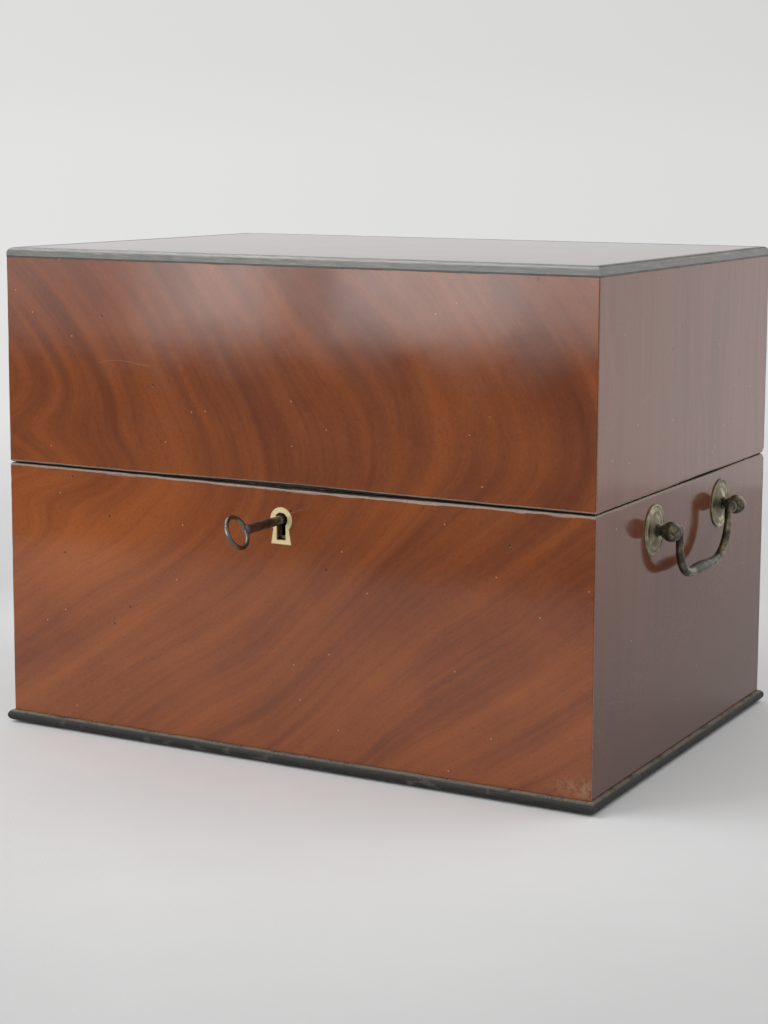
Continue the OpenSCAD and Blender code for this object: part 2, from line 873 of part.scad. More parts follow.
module lid_top() {
    rebate_x = half_width - strip_width;
    rebate_y = half_depth - strip_width;
    color(mahogany) {
        block([-board_x, -board_y, top_under], [board_x, board_y, strip_bottom]);
        block([-rebate_x, -rebate_y, top_under], [rebate_x, rebate_y, box_height - top_veneer]);
    }
}

module lid_veneer_front() {
    color(mahogany) block([-half_width, -half_depth, lid_bottom], [half_width, -board_y, strip_bottom]);
}

module lid_veneer_back() {
    color(mahogany) difference() {
        block([-half_width, board_y, lid_bottom], [half_width, half_depth, strip_bottom]);
        lid_stop_cut();
        knuckle_pockets();
    }
}

module lid_veneer_side() {
    difference() {
        block([board_x, -board_y, lid_bottom], [half_width, board_y, strip_bottom]);
        lid_stop_cut();
    }
}

module lid_veneer_left() {
    color(mahogany) mirror([1, 0, 0]) lid_veneer_side();
}

module lid_veneer_right() {
    color(mahogany) lid_veneer_side();
}

module lid_veneer_top() {
    color(mahogany) block([-half_width + strip_width, -half_depth + strip_width, box_height - top_veneer],
        [half_width - strip_width, half_depth - strip_width, box_height]);
}

// a rounded strip lying along X on the front top edge, mitred at both ends
module strip_length(half_length, half_reach) {
    arc = [for (turn = [0 : 15 : 90])
        [-half_reach + strip_round * (1 - cos(turn)), box_height - strip_round * (1 - sin(turn))]];
    outline = concat([[-half_reach + strip_width, strip_bottom], [-half_reach, strip_bottom]], arc,
        [[-half_reach + strip_width, box_height]]);
    intersection() {
        translate([-half_length, 0, 0]) rotate([90, 0, 90]) linear_extrude(2 * half_length) polygon(outline);
        translate([0, 0, strip_bottom - cut]) linear_extrude(strip_height + 2 * cut)
            polygon([[-half_length, -half_reach], [half_length, -half_reach],
                [half_length - strip_width, -half_reach + strip_width],
                [-half_length + strip_width, -half_reach + strip_width]]);
    }
}

module edge_strip_front() {
    color(ebony) strip_length(half_width, half_depth);
}

module edge_strip_back() {
    color(ebony) mirror([0, 1, 0]) strip_length(half_width, half_depth);
}

module edge_strip_left() {
    color(ebony) rotate([0, 0, -90]) strip_length(half_depth, half_width);
}

module edge_strip_right() {
    color(ebony) rotate([0, 0, 90]) strip_length(half_depth, half_width);
}

module lid_lining() {
    color(velvet) block([-inner_x, -inner_y, top_under - lining_thickness], [inner_x, inner_y, top_under]);
}

case_front();
case_back();
case_left();
case_right();
case_bottom();
case_veneer_front();
case_veneer_back();
case_veneer_left();
case_veneer_right();
base_moulding_front();
base_moulding_back();
base_moulding_left();
base_moulding_right();
base_pad();
escutcheon();
lock_plate();
lock_cap();
hinge_case_leaves();
hinge_pins();
case_screws();
handle_roses();
handle_posts();
handle_nuts();
partition_left();
partition_right();
fitted_deck();
bay_pads();
lid_front();
lid_back();
lid_left();
lid_right();
lid_top();
lid_veneer_front();
lid_veneer_back();
lid_veneer_left();
lid_veneer_right();
lid_veneer_top();
edge_strip_front();
edge_strip_back();
edge_strip_left();
edge_strip_right();
lid_lining();
hinge_lid_leaves();
link_plate();
lid_screws();
lock_bolt();
key();
bail_right();
bail_left();
canister_left_box();
canister_left_liner();
canister_left_lid();
canister_left_knob();
canister_right_box();
canister_right_liner();
canister_right_lid();
canister_right_knob();
mixing_bowl();
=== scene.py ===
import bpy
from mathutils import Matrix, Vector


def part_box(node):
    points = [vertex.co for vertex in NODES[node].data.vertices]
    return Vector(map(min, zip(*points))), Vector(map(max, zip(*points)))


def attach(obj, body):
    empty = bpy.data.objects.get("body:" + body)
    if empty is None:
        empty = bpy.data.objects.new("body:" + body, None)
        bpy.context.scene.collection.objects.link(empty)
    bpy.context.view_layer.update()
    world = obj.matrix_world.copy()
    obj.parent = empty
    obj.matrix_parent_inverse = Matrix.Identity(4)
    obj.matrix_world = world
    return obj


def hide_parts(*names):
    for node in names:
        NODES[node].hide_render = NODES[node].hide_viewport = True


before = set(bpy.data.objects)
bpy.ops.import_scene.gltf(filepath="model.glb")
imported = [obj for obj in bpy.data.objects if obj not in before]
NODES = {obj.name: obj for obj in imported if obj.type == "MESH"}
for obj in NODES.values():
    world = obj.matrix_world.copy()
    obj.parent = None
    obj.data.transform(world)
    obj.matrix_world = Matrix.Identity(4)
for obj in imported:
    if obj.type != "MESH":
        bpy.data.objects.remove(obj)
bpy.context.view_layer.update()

import math

import bmesh
import bpy
from mathutils import Matrix, Vector, noise

# Looks of the mahogany tea caddy. Metres; lengths given in millimetres are multiplied by MM.
MM = 0.001
scene = bpy.context.scene
scene.view_settings.view_transform = "Standard"


def box(node):
    """The corners of a CAD node in millimetres."""
    lo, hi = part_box(node)
    return lo / MM, hi / MM


# ---------- materials
class Tree:
    """One material's nodes, written as short calls. Positions are in millimetres in the row frame."""

    def __init__(self, name):
        self.mat = bpy.data.materials.new(name)
        self.mat.use_nodes = True
        self.nt = self.mat.node_tree
        self.nt.nodes.clear()
        out = self.nt.nodes.new("ShaderNodeOutputMaterial")
        self.shader = self.nt.nodes.new("ShaderNodeBsdfPrincipled")
        self.nt.links.new(self.shader.outputs[0], out.inputs[0])
        coords = self.nt.nodes.new("ShaderNodeTexCoord")
        self.pos = self.vmath("SCALE", coords.outputs["Object"], scale=1 / MM)
        split = self.node("ShaderNodeSeparateXYZ", [self.pos])
        self.x, self.y, self.z = split.outputs

    def feed(self, socket, value):
        if isinstance(value, bpy.types.NodeSocket):
            self.nt.links.new(value, socket)
        elif value is not None:
            socket.default_value = value

    def node(self, kind, values=(), **props):
        made = self.nt.nodes.new(kind)
        for key, value in props.items():
            setattr(made, key, value)
        for socket, value in zip(made.inputs, values):
            self.feed(socket, value)
        return made

    def math(self, operation, a, b=None):
        return self.node("ShaderNodeMath", [a, b], operation=operation).outputs[0]

    def sub(self, a, b):
        return self.math("SUBTRACT", a, b)

    def size_of(self, value):
        return self.math("ABSOLUTE", value)

    def add(self, *terms):
        total = terms[0]
        for term in terms[1:]:
            total = self.math("ADD", total, term)
        return total

    def mul(self, *terms):
        total = terms[0]
        for term in terms[1:]:
            total = self.math("MULTIPLY", total, term)
        return total

    def vmath(self, operation, a, b=None, scale=None):
        made = self.node("ShaderNodeVectorMath", [a, b], operation=operation)
        if scale is not None:
            made.inputs["Scale"].default_value = scale
        return made.outputs[0]

    def vec(self, x, y, z):
        return self.node("ShaderNodeCombineXYZ", [x, y, z]).outputs[0]

    def noise(self, vector, scale, detail=2.0, rough=0.5):
        made = self.node("ShaderNodeTexNoise")
        for name, value in (("Vector", vector), ("Scale", scale), ("Detail", detail), ("Roughness", rough)):
            self.feed(made.inputs[name], value)
        return made.outputs["Fac"]

    def grain(self, a, per_a, b, per_b, third, detail, rough):
        """Noise drawn out along b: per_a and per_b are the frequencies across and along it."""
        return self.noise(self.vec(self.mul(a, per_a), self.mul(b, per_b), third), 1.0, detail, rough)

    def spots(self, seed, scale, size, soft=0.4):
        """1 in small round specks on any face of a box, one in each cell, and 0 between them."""
        made = self.node("ShaderNodeTexVoronoi", voronoi_dimensions="2D")
        self.feed(made.inputs["Vector"],
                  self.vec(self.add(self.x, self.y, seed), self.add(self.z, self.mul(self.y, 0.6)), 0.0))
        self.feed(made.inputs["Scale"], scale)
        return self.step(made.outputs["Distance"], size, size * (1 - soft))

    def step(self, value, low, high, to_low=0.0, to_high=1.0):
        """Runs smoothly from to_low at low to to_high at high."""
        made = self.node("ShaderNodeMapRange", interpolation_type="SMOOTHSTEP")
        for name, v in (("Value", value), ("From Min", low), ("From Max", high),
                        ("To Min", to_low), ("To Max", to_high)):
            self.feed(made.inputs[name], v)
        if isinstance(low, float | int) and isinstance(high, float | int) and low > high:
            made.inputs["From Min"].default_value = high
            made.inputs["From Max"].default_value = low
            made.inputs["To Min"].default_value = to_high
            made.inputs["To Max"].default_value = to_low
        return made.outputs["Result"]

    def ramp(self, factor, *stops):
        made = self.node("ShaderNodeValToRGB", [factor])
        ramp = made.color_ramp
        for k, (place, colour) in enumerate(stops):
            stop = ramp.elements[k] if k < 2 else ramp.elements.new(place)
            stop.position = place
            stop.color = (*colour, 1)
        return made.outputs[0]

    def mix(self, factor, a, b):
        made = self.node("ShaderNodeMix", data_type="RGBA")
        self.feed(made.inputs[0], factor)
        self.feed(made.inputs[6], a if isinstance(a, bpy.types.NodeSocket) else (*a, 1))
        self.feed(made.inputs[7], b if isinstance(b, bpy.types.NodeSocket) else (*b, 1))
        return made.outputs[2]

    def edge(self):
        """1 on the worn edge of a piece, falling to 0 at 6 mm from it."""
        return self.node("ShaderNodeAttribute", attribute_name="edge").outputs["Fac"]

    def finish(self, colour, rough, bumps=(), metal=0.0, **uniform):
        """bumps are (height socket, its full height in mm). uniform are the shader's own socket values."""
        self.feed(self.shader.inputs["Base Color"],
                  colour if isinstance(colour, bpy.types.NodeSocket) else (*colour, 1))
        self.feed(self.shader.inputs["Roughness"], rough)
        self.feed(self.shader.inputs["Metallic"], metal)
        normal = None
        for height, depth in bumps:
            made = self.node("ShaderNodeBump")
            made.inputs["Strength"].default_value = 1.0
            made.inputs["Distance"].default_value = depth * MM
            self.feed(made.inputs["Height"], height)
            if normal:
                self.nt.links.new(normal, made.inputs["Normal"])
            normal = made.outputs[0]
        if normal:
            self.nt.links.new(normal, self.shader.inputs["Normal"])
        for name, value in uniform.items():
            socket = self.shader.inputs[name.replace("_", " ")]
            socket.default_value = (*value, 1) if isinstance(value, tuple) else value
        return self.mat


def polish(t, low, high):
    """Roughness and slow ripple of an old hand-rubbed French polish."""
    smear = t.noise(t.pos, 0.03, 4, 0.6)
    dust = t.noise(t.pos, 0.9, 3, 0.7)
    rough = t.add(t.step(smear, 0.3, 0.75, low, high), t.mul(dust, 0.04))
    ripple = t.noise(t.pos, 0.022, 2, 0.4)
    return rough, ripple


def bell(t, value, centre, width):
    """A smooth hump of height 1 at centre."""
    away = t.math("DIVIDE", t.sub(value, centre), width)
    return t.math("EXPONENT", t.mul(away, away, -1.0))


def flame_figure(t, x, z, split):
    """Crotch figure: nested arcs that open to the left. x runs across and z up, and the arcs turn at the
    height split. Gives the place across the arcs and the place along them, in millimetres."""
    flat = t.vec(x, z, 0.0)
    slow = t.sub(t.noise(flat, 0.0065, 1, 0.4), 0.5)
    quick = t.sub(t.noise(flat, 0.02, 1, 0.4), 0.5)
    turn = t.add(t.step(x, -20.0, 90.0, 0.0, 22.0), split)
    rise = t.sub(z, turn)
    slope = t.step(rise, -25.0, 25.0, 1.55, 0.92)
    arm = t.mul(rise, slope)
    round_off = t.step(x, -150.0, 20.0, 12.0, 48.0)
    arc = t.math("SQRT", t.add(t.mul(arm, arm), t.mul(round_off, round_off)))
    left = bell(t, x, -190.0, 78.0)
    across = t.add(x, arc, t.mul(slow, 34.0), t.mul(quick, 7.0),
                   t.mul(bell(t, z, split + 16.0, 20.0), left, 46.0),
                   t.mul(bell(t, z, split - 18.0, 16.0), left, 40.0))
    return across, z


def flame(name, mirror=1.0, split=149.0, seed=0.0, warm=None, scuff=None):
    """Flame mahogany under French polish, for a face seen along Y. mirror -1 turns it left to right."""
    t = Tree(name)
    x = t.mul(t.x, mirror)
    across, along = flame_figure(t, x, t.z, split)
    wide = t.grain(across, 0.036, along, 0.005, seed, 2, 0.55)
    band = t.grain(across, 0.11, along, 0.008, seed + 3, 2, 0.5)
    line = t.grain(across, 0.42, along, 0.02, seed + 7, 2, 0.6)
    pore = t.grain(across, 1.5, along, 0.3, seed + 11, 2, 0.6)
    cloud = t.noise(t.vec(x, t.z, seed), 0.016, 3, 0.5)
    tone = t.add(t.mul(wide, 0.56), t.mul(band, 0.32), t.mul(line, 0.14), t.mul(pore, 0.24),
                 t.mul(cloud, 0.34), -0.245)
    if warm is not None:
        tone = t.add(tone, warm(t, x, t.z))
    colour = t.ramp(tone, (0.2, (0.11, 0.03, 0.014)), (0.44, (0.195, 0.053, 0.02)),
                    (0.62, (0.285, 0.078, 0.024)), (0.86, (0.41, 0.115, 0.03)))
    if scuff is not None:
        colour = t.mix(t.mul(scuff(t), 0.75), colour, (0.34, 0.2, 0.105))
    return veneer_finish(t, colour, pore, seed)


def veneer_finish(t, colour, grain, seed, low=0.05, high=0.1, ripples=0.13, fill=0.012,
                  shine=0.5):
    """Adds edge wear, specks and polish to a veneer colour. low and high are the ends of its roughness."""
    edge = t.edge()
    near = t.noise(t.pos, 0.35, 3, 0.65)
    fine = t.noise(t.pos, 1.6, 2, 0.6)
    worn = t.step(t.add(edge, t.mul(near, 0.22), t.mul(fine, 0.1)), 1.06, 1.13)
    dirty = t.step(t.add(edge, t.mul(near, 0.5)), 1.0, 1.35)
    colour = t.mix(t.mul(dirty, 0.55), colour, (0.06, 0.026, 0.016))
    colour = t.mix(t.mul(worn, 0.9), colour, (0.3, 0.215, 0.155))
    dark = t.mul(t.spots(seed * 31.0, 0.021, 0.02), t.step(t.noise(t.pos, 0.013, 1), 0.55, 0.58), 0.8)
    pale = t.mul(t.spots(seed * 17.0 + 5.0, 0.03, 0.015), t.step(t.noise(t.pos, 0.021, 1), 0.53, 0.56), 0.8)
    path = t.size_of(t.sub(t.noise(t.vmath("MULTIPLY", t.pos, (0.6, 0.6, 1.5)), 0.011, 2, 0.4), 0.5))
    scratch = t.mul(t.step(path, 0.0004, 0.0014, 1.0, 0.0), t.step(t.noise(t.pos, 0.017, 1), 0.64, 0.7))
    mottle = t.noise(t.pos, 0.75, 3, 0.7)
    colour = t.mix(t.step(mottle, 0.5, 0.75, 0.0, 0.3), colour, (0.05, 0.018, 0.01))
    colour = t.mix(t.mul(scratch, 0.2), colour, (0.5, 0.36, 0.27))
    colour = t.mix(t.mul(dark, 0.8), colour, (0.03, 0.013, 0.01))
    colour = t.mix(t.mul(pale, 0.75), colour, (0.62, 0.48, 0.38))
    rough, ripple = polish(t, low, high)
    rough = t.add(rough, t.mul(worn, 0.35), t.mul(pale, 0.2))
    return t.finish(colour, rough, [(ripple, ripples), (grain, fill), (t.sub(1.0, dark), 0.05)],
                    Specular_IOR_Level=shine)


def plain_wood(name, across, along, dark, mid, light, seed=0.0, scale=1.0, old=0.0, open_pores=0.45):
    """Straight-grained wood. across and along name the axes that the grain is packed and drawn along."""
    t = Tree(name)
    axes = {"x": t.x, "y": t.y, "z": t.z}
    flat = t.noise(t.pos, 0.012, 2)
    a = t.add(axes[across], t.mul(flat, 26.0))
    other = [axes[k] for k in "xyz" if k not in (across, along)][0]
    b = axes[along]
    depth = t.mul(other, 0.06)
    wide = t.grain(a, 0.05 * scale, b, 0.004, depth, 2, 0.5)
    band = t.grain(a, 0.23 * scale, b, 0.008, t.add(depth, seed), 3, 0.6)
    line = t.grain(a, 1.1 * scale, b, 0.02, depth, 3, 0.6)
    pore = t.grain(a, 3.6, b, 0.16, depth, 2, 0.7)
    tone = t.add(t.mul(wide, 0.55), t.mul(band, 0.45), t.mul(line, 0.3), -0.17)
    colour = t.ramp(tone, (0.25, dark), (0.5, mid), (0.75, light))
    pores = t.step(pore, 0.6, 0.72)
    colour = t.mix(t.mul(pores, open_pores), colour, tuple(v * 0.3 for v in dark))
    if old:
        colour = t.mix(t.mul(t.step(t.noise(t.pos, 0.03, 4, 0.7), 0.45, 0.8), old), colour,
                       (0.05, 0.03, 0.02))
    return t, colour, pores, line


def oiled(t, colour, pores, line, low, high, depth, gap_shade=None):
    """The finish of plain wood: low and high are the ends of its roughness, depth that of its grain."""
    rough = t.step(t.noise(t.pos, 0.06, 3, 0.6), 0.3, 0.7, low, high)
    # gap_shade is the painted shade along the lid gap; it also makes the wood rougher there
    if gap_shade:
        rough = t.add(rough, t.mul(gap_shade, 0.4))
    return t.finish(colour, rough, [(t.sub(line, pores), depth)])


# ---------- meshes
def new_object(name, bm, mat, smooth=None, edge=None):
    """A linked object from a bmesh. smooth is the angle in degrees under which edges are smoothed."""
    if smooth is not None:
        bmesh.ops.recalc_face_normals(bm, faces=bm.faces)
    mesh = bpy.data.meshes.new(name)
    bm.to_mesh(mesh)
    bm.free()
    obj = bpy.data.objects.new(name, mesh)
    scene.collection.objects.link(obj)
    if mat:
        mesh.materials.append(mat)
    if smooth is not None:
        for poly in mesh.polygons:
            poly.use_smooth = True
        mesh.set_sharp_from_angle(angle=math.radians(smooth))
    if edge is not None:
        attribute = mesh.attributes.new("edge", "FLOAT", "POINT")
        attribute.data.foreach_set("value", edge)
    return obj


def stand_for(obj, body, slot, *nodes):
    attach(obj, body)
    if nodes:
        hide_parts(*nodes)
    return obj


SIDES = {"front": ((1, 0, 0), (0, 0, 1), (0, -1, 0)), "back": ((-1, 0, 0), (0, 0, 1), (0, 1, 0)),
         "right": ((0, 1, 0), (0, 0, 1), (1, 0, 0)), "left": ((0, -1, 0), (0, 0, 1), (-1, 0, 0)),
         "top": ((1, 0, 0), (0, 1, 0), (0, 0, 1))}


def rough_at(point, size, seed):
    """Noise from -1 to 1 at a point in millimetres, with features about size across."""
    return noise.noise(Vector(point) / size + Vector((seed, seed * 0.37, -seed)))


def marks(length, step):
    """Places along a length: close together at both ends and step apart between."""
    ends = [0, 0.12, 0.28, 0.5, 0.85, 1.4, 2.2]
    count = max(2, round((length - 2 * ends[-1]) / step))
    span = (length - 2 * ends[-1]) / count
    return ends[:-1] + [ends[-1] + span * k for k in range(count + 1)] + [length - e for e in ends[-2::-1]]


def panel(side, body, mat, seed, wear, lift=None, hole=None, step=3.0, fall=0.0, rub=(0.88, 0.88, 1.0, 1.06),
          sink=None, fine=((), ()), stop=None):
    """The veneer sheet on one side of the case or lid, with rounded, rubbed and nicked edges.
    wear is the size of the rounding on the low and high end across, and the low and high end up. rub is how
    worn each of them looks. lift(u, v) gives how far the bottom and top edges are worn back, in millimetres.
    hole(u, v) is true where the sheet is open. sink(u, v) is how far it lies back. fine holds extra grid
    places. stop(v) is the depth of the chamfer that the lid stops on."""
    node = f"{body}_veneer_{side}"
    lo, hi = box(node)
    eu, ev, en = (Vector(v) for v in SIDES[side])
    corners = [Vector((p[0][0], p[1][1], p[2][2])) for p in
               [(a, b, c) for a in (lo, hi) for b in (lo, hi) for c in (lo, hi)]]
    u0, u1 = min(c.dot(eu) for c in corners), max(c.dot(eu) for c in corners)
    v0, v1 = min(c.dot(ev) for c in corners), max(c.dot(ev) for c in corners)
    n0, n1 = min(c.dot(en) for c in corners), max(c.dot(en) for c in corners)
    us = sorted(set(marks(u1 - u0, step)) | {u - u0 for u in fine[0]})
    vs = sorted(set(marks(v1 - v0, step)) | {v - v0 for v in fine[1]})
    thick = n1 - n0
    bm = bmesh.new()
    grid, edges = {}, []
    for i, du in enumerate(us):
        for j, dv in enumerate(vs):
            away = (du, u1 - u0 - du, dv, v1 - v0 - dv)
            depth = 0.0
            for k, d in enumerate(away):
                size = wear[k] * (1 + 0.6 * rough_at((u0 + du, v0 + dv, k * 50), 14, seed)
                                  + 0.5 * rough_at((u0 + du, v0 + dv, k * 50), 3.5, seed))
                size = max(0.05, size)
                if d < size:
                    depth = max(depth, size - math.sqrt(max(0.0, size * size - (size - d) ** 2)))
            near = min(away)
            depth += fall * math.exp(-near / 9.0)
            u, v = u0 + du, v0 + dv
            if sink:
                depth += sink(u, v)
            if lift:
                low, high = lift(u, v)
                v += low * max(0.0, 1 - away[2] / 4.0) - high * max(0.0, 1 - away[3] / 4.0)
            depth = min(depth, thick * 0.8)
            if stop:
                depth = max(depth, min(stop(v), thick - 0.02))
            grid[i, j] = bm.verts.new((eu * u + ev * v + en * (n1 - depth)) * MM)
            edges.append(max(0.0, *(rub[k] * (1 - d / 6.0) for k, d in enumerate(away))))
    for i in range(len(us) - 1):
        for j in range(len(vs) - 1):
            middle = (u0 + (us[i] + us[i + 1]) / 2, v0 + (vs[j] + vs[j + 1]) / 2)
            if not (hole and hole(*middle)):
                bm.faces.new((grid[i, j], grid[i + 1, j], grid[i + 1, j + 1], grid[i, j + 1]))
    rim = [e for e in bm.edges if len(e.link_faces) == 1]
    made = bmesh.ops.extrude_edge_only(bm, edges=rim)["geom"]
    for vert in (g for g in made if isinstance(g, bmesh.types.BMVert)):
        vert.co += en * ((n0 - vert.co.dot(en) / MM) * MM)
        edges.append(1.0)
    loose = [v for v in bm.verts if not v.link_faces]
    keep = [e for v, e in zip(bm.verts, edges) if v.link_faces]
    bmesh.ops.delete(bm, geom=loose, context="VERTS")
    stand_for(new_object(f"{side}_{body}_veneer", bm, mat, 35, keep), body, "flame_mahogany", node)


def bar(name, node, side, outline, mat, body, slot, seed, mitre, step=3.0, dents=0.2):
    """A moulding along one side. outline holds (distance out from the wall line, height) in millimetres,
    going round the section. mitre(out) gives how far the end is cut back at that distance out."""
    lo, hi = box(node)
    eu, ev, en = (Vector(v) for v in SIDES[side])
    u0 = min(lo.dot(eu), hi.dot(eu))
    u1 = max(lo.dot(eu), hi.dot(eu))
    count = round((u1 - u0) / step)
    bm = bmesh.new()
    rings, edges = [], []
    for k in range(count + 1):
        share = k / count
        ring = []
        for m, (out, up) in enumerate(outline):
            back = mitre(out)
            u = u0 + back + (u1 - u0 - 2 * back) * share
            place = Vector((u, out, up + seed))
            dent = max(0.0, rough_at(place, 9, seed) - 0.25) * 1.4
            dent += max(0.0, rough_at(place, 2.6, seed) - 0.4)
            dent *= dents if 0 < k < count else dents * 1.6
            middle_out = sum(p[0] for p in outline) / len(outline)
            middle_up = sum(p[1] for p in outline) / len(outline)
            pull = Vector((middle_out - out, middle_up - up))
            pull = pull.normalized() * dent if pull.length else pull
            ring.append(bm.verts.new((eu * u + en * (out + pull.x) + ev * (up + pull.y)) * MM))
            edges.append(min(1.0, 0.55 + dent * 1.2) if dent > 0.02 else 0.0)
        rings.append(ring)
    sides = len(outline)
    for a, b in zip(rings, rings[1:]):
        for m in range(sides):
            bm.faces.new((a[m], a[(m + 1) % sides], b[(m + 1) % sides], b[m]))
    bm.faces.new(rings[0][::-1])
    bm.faces.new(rings[-1])
    return stand_for(new_object(name, bm, mat, 40, edges), body, slot, node)


def lathe(bm, outline, place, turns, ripple=None):
    """Revolves (radius, height) points about the local Z axis of the matrix place, in millimetres.
    ripple(angle, radius, height) is added to the radius."""
    rings = []
    for radius, height in outline:
        if radius < 1e-6:
            rings.append([bm.verts.new((place @ Vector((0, 0, height))) * MM)])
            continue
        ring = []
        for k in range(turns):
            a = 2 * math.pi * k / turns
            r = radius + (ripple(a, radius, height) if ripple else 0)
            ring.append(bm.verts.new((place @ Vector((r * math.cos(a), r * math.sin(a), height))) * MM))
        rings.append(ring)
    for a, b in zip(rings, rings[1:]):
        for k in range(turns):
            m = (k + 1) % turns
            if len(a) == 1 and len(b) > 1:
                bm.faces.new((a[0], b[m], b[k]))
            elif len(b) == 1 and len(a) > 1:
                bm.faces.new((a[k], a[m], b[0]))
            elif len(a) > 1:
                bm.faces.new((a[k], a[m], b[m], b[k]))


def sweep(bm, points, radii, turns, closed=False):
    """A round bar along points in millimetres. radii gives its radius at each."""
    rings = []
    normal = None
    count = len(points)
    for k, p in enumerate(points):
        p = Vector(p)
        before = Vector(points[k - 1]) if k or closed else p
        after = Vector(points[(k + 1) % count]) if k < count - 1 or closed else p
        along = (after - before).normalized()
        if normal is None:
            normal = along.orthogonal().normalized()
            if abs(along.x) < 0.9:
                normal = (Vector((1, 0, 0)) - along * along.x).normalized()
        normal = (normal - along * normal.dot(along)).normalized()
        side = along.cross(normal)
        rings.append([bm.verts.new((p + (normal * math.cos(t) + side * math.sin(t)) * radii[k]) * MM)
                      for t in (2 * math.pi * m / turns for m in range(turns))])
    pairs = list(zip(rings, rings[1:])) + ([(rings[-1], rings[0])] if closed else [])
    for a, b in pairs:
        for m in range(turns):
            bm.faces.new((a[m], a[(m + 1) % turns], b[(m + 1) % turns], b[m]))
    if not closed:
        bm.faces.new(rings[0][::-1])
        bm.faces.new(rings[-1])


def block(bm, lo, hi, soft):
    """A box with edges rounded by soft, in millimetres."""
    made = bmesh.ops.create_cube(bm, size=1)["verts"]
    lo, hi = Vector(lo), Vector(hi)
    for v in made:
        v.co = Vector([(lo[k] if v.co[k] < 0 else hi[k]) for k in range(3)]) * MM
    edges = list({e for v in made for e in v.link_edges})
    bmesh.ops.bevel(bm, geom=edges, offset=soft * MM, segments=2, profile=0.5, affect="EDGES")


SHARP_ANGLE = math.radians(32)


def dress(node, mat, soft):
    """A CAD node that keeps its shape gets its material and slightly rounded edges."""
    obj = NODES[node]
    obj.data.materials.clear()
    obj.data.materials.append(mat)
    if soft:
        bevel = obj.modifiers.new("soft_edges", "BEVEL")
        bevel.width = soft * MM
        bevel.segments = 2
        bevel.limit_method = "ANGLE"
        bevel.angle_limit = SHARP_ANGLE
    for poly in obj.data.polygons:
        poly.use_smooth = True
    obj.data.set_sharp_from_angle(angle=SHARP_ANGLE)


SIDE_SIGN = {"right": 1, "left": -1}


# ---------- woods
half_x, half_y = box("case_veneer_right")[1].x, -box("case_veneer_front")[0].y
gap_z = (box("case_veneer_front")[1].z + box("lid_veneer_front")[0].z) / 2


def feather(t, x, z):
    """Where the front's figure runs light and dark: an orange field low on the case, browner on the lid."""
    field = t.step(z, 140.0, 154.0, 0.06, -0.03)
    glow = t.mul(bell(t, x, -120.0, 70.0), bell(t, z, 105.0, 42.0), 0.15)
    shade = t.mul(bell(t, x, 110.0, 95.0), bell(t, z, 112.0, 44.0), -0.1)
    return t.add(field, glow, shade)


def foot_scuff(t):
    """Polish and stain rubbed off the foot of the front's right corner."""
    return t.mul(bell(t, t.x, 172.0, 14.0), bell(t, t.z, 12.5, 5.0),
                 t.step(t.noise(t.pos, 0.3, 3, 0.7), 0.42, 0.56))


FLAME_FRONT = flame("flame_mahogany_front", warm=feather, scuff=foot_scuff)
FLAME_BACK = flame("flame_mahogany_back", mirror=-1.0, seed=20.0)


def side_veneer(name, seed):
    t, colour, _, line = plain_wood(name, "y", "z", (0.15, 0.054, 0.032), (0.2, 0.073, 0.043),
                                        (0.25, 0.092, 0.055), seed, open_pores=0.12)
    low_shade = t.mul(t.step(t.z, 4.0, gap_z, 0.85, 0.25), t.step(t.z, gap_z - 0.2, gap_z + 0.2, 1.0, 0.0))
    colour = t.mix(low_shade, colour, (0.085, 0.034, 0.023))
    return veneer_finish(t, colour, line, seed, 0.06, 0.11, 0.1, 0.006)


def top_veneer():
    t = Tree("flame_mahogany_top")
    across, along = flame_figure(t, t.mul(t.x, -1.0), t.y, -20.0)
    wide = t.grain(across, 0.04, along, 0.006, 31.0, 2, 0.55)
    band = t.grain(across, 0.16, along, 0.012, 37.0, 3, 0.6)
    line = t.grain(across, 0.8, along, 0.03, 41.0, 3, 0.65)
    tone = t.add(t.mul(wide, 0.85), t.mul(band, 0.6), t.mul(line, 0.35), -0.42)
    colour = t.ramp(tone, (0.2, (0.08, 0.025, 0.013)), (0.45, (0.15, 0.046, 0.02)),
                    (0.65, (0.22, 0.072, 0.028)), (0.88, (0.31, 0.108, 0.038)))
    return veneer_finish(t, colour, line, 5.0, 0.03, 0.06, 0.04, 0.004)


SIDE_RIGHT, SIDE_LEFT, TOP = side_veneer("side_mahogany_right", 1.0), side_veneer("side_mahogany_left",
                                                                                  9.0), top_veneer()


def board(name, across, along, seed, old=0.35):
    t, colour, pores, line = plain_wood(name, across, along, (0.11, 0.035, 0.017), (0.19, 0.066, 0.03),
                                        (0.28, 0.105, 0.045), seed, old=old)
    outer = t.math("MAXIMUM", t.step(t.size_of(t.y), half_y - 3.5, half_y - 1.6),
                   t.step(t.size_of(t.x), half_x - 3.5, half_x - 1.6))
    # painted shade: near the gap between case and lid, the outer faces of the boards are painted almost black
    # and made rougher
    gap_shade = t.mul(outer, t.step(t.size_of(t.sub(t.z, gap_z)), 2.2, 1.4))
    colour = t.mix(t.mul(gap_shade, 0.97), colour, (0.004, 0.003, 0.002))
    return oiled(t, colour, pores, line, 0.32, 0.5, 0.05, gap_shade)


def inner_wood(name, across, along, seed):
    t, colour, pores, line = plain_wood(name, across, along, (0.06, 0.02, 0.011), (0.105, 0.036, 0.018),
                                        (0.16, 0.058, 0.027), seed)
    return oiled(t, colour, pores, line, 0.22, 0.38, 0.04)


BOARD_X, BOARD_Y = board("solid_mahogany_x", "z", "x", 2.0), board("solid_mahogany_y", "z", "y", 5.0)
BOARD_TOP = board("solid_mahogany_flat", "y", "x", 8.0)
INNER_Z, INNER_FLAT = inner_wood("plain_mahogany_upright", "y", "z", 3.0), inner_wood("plain_mahogany_flat",
                                                                                      "x", "y", 6.0)


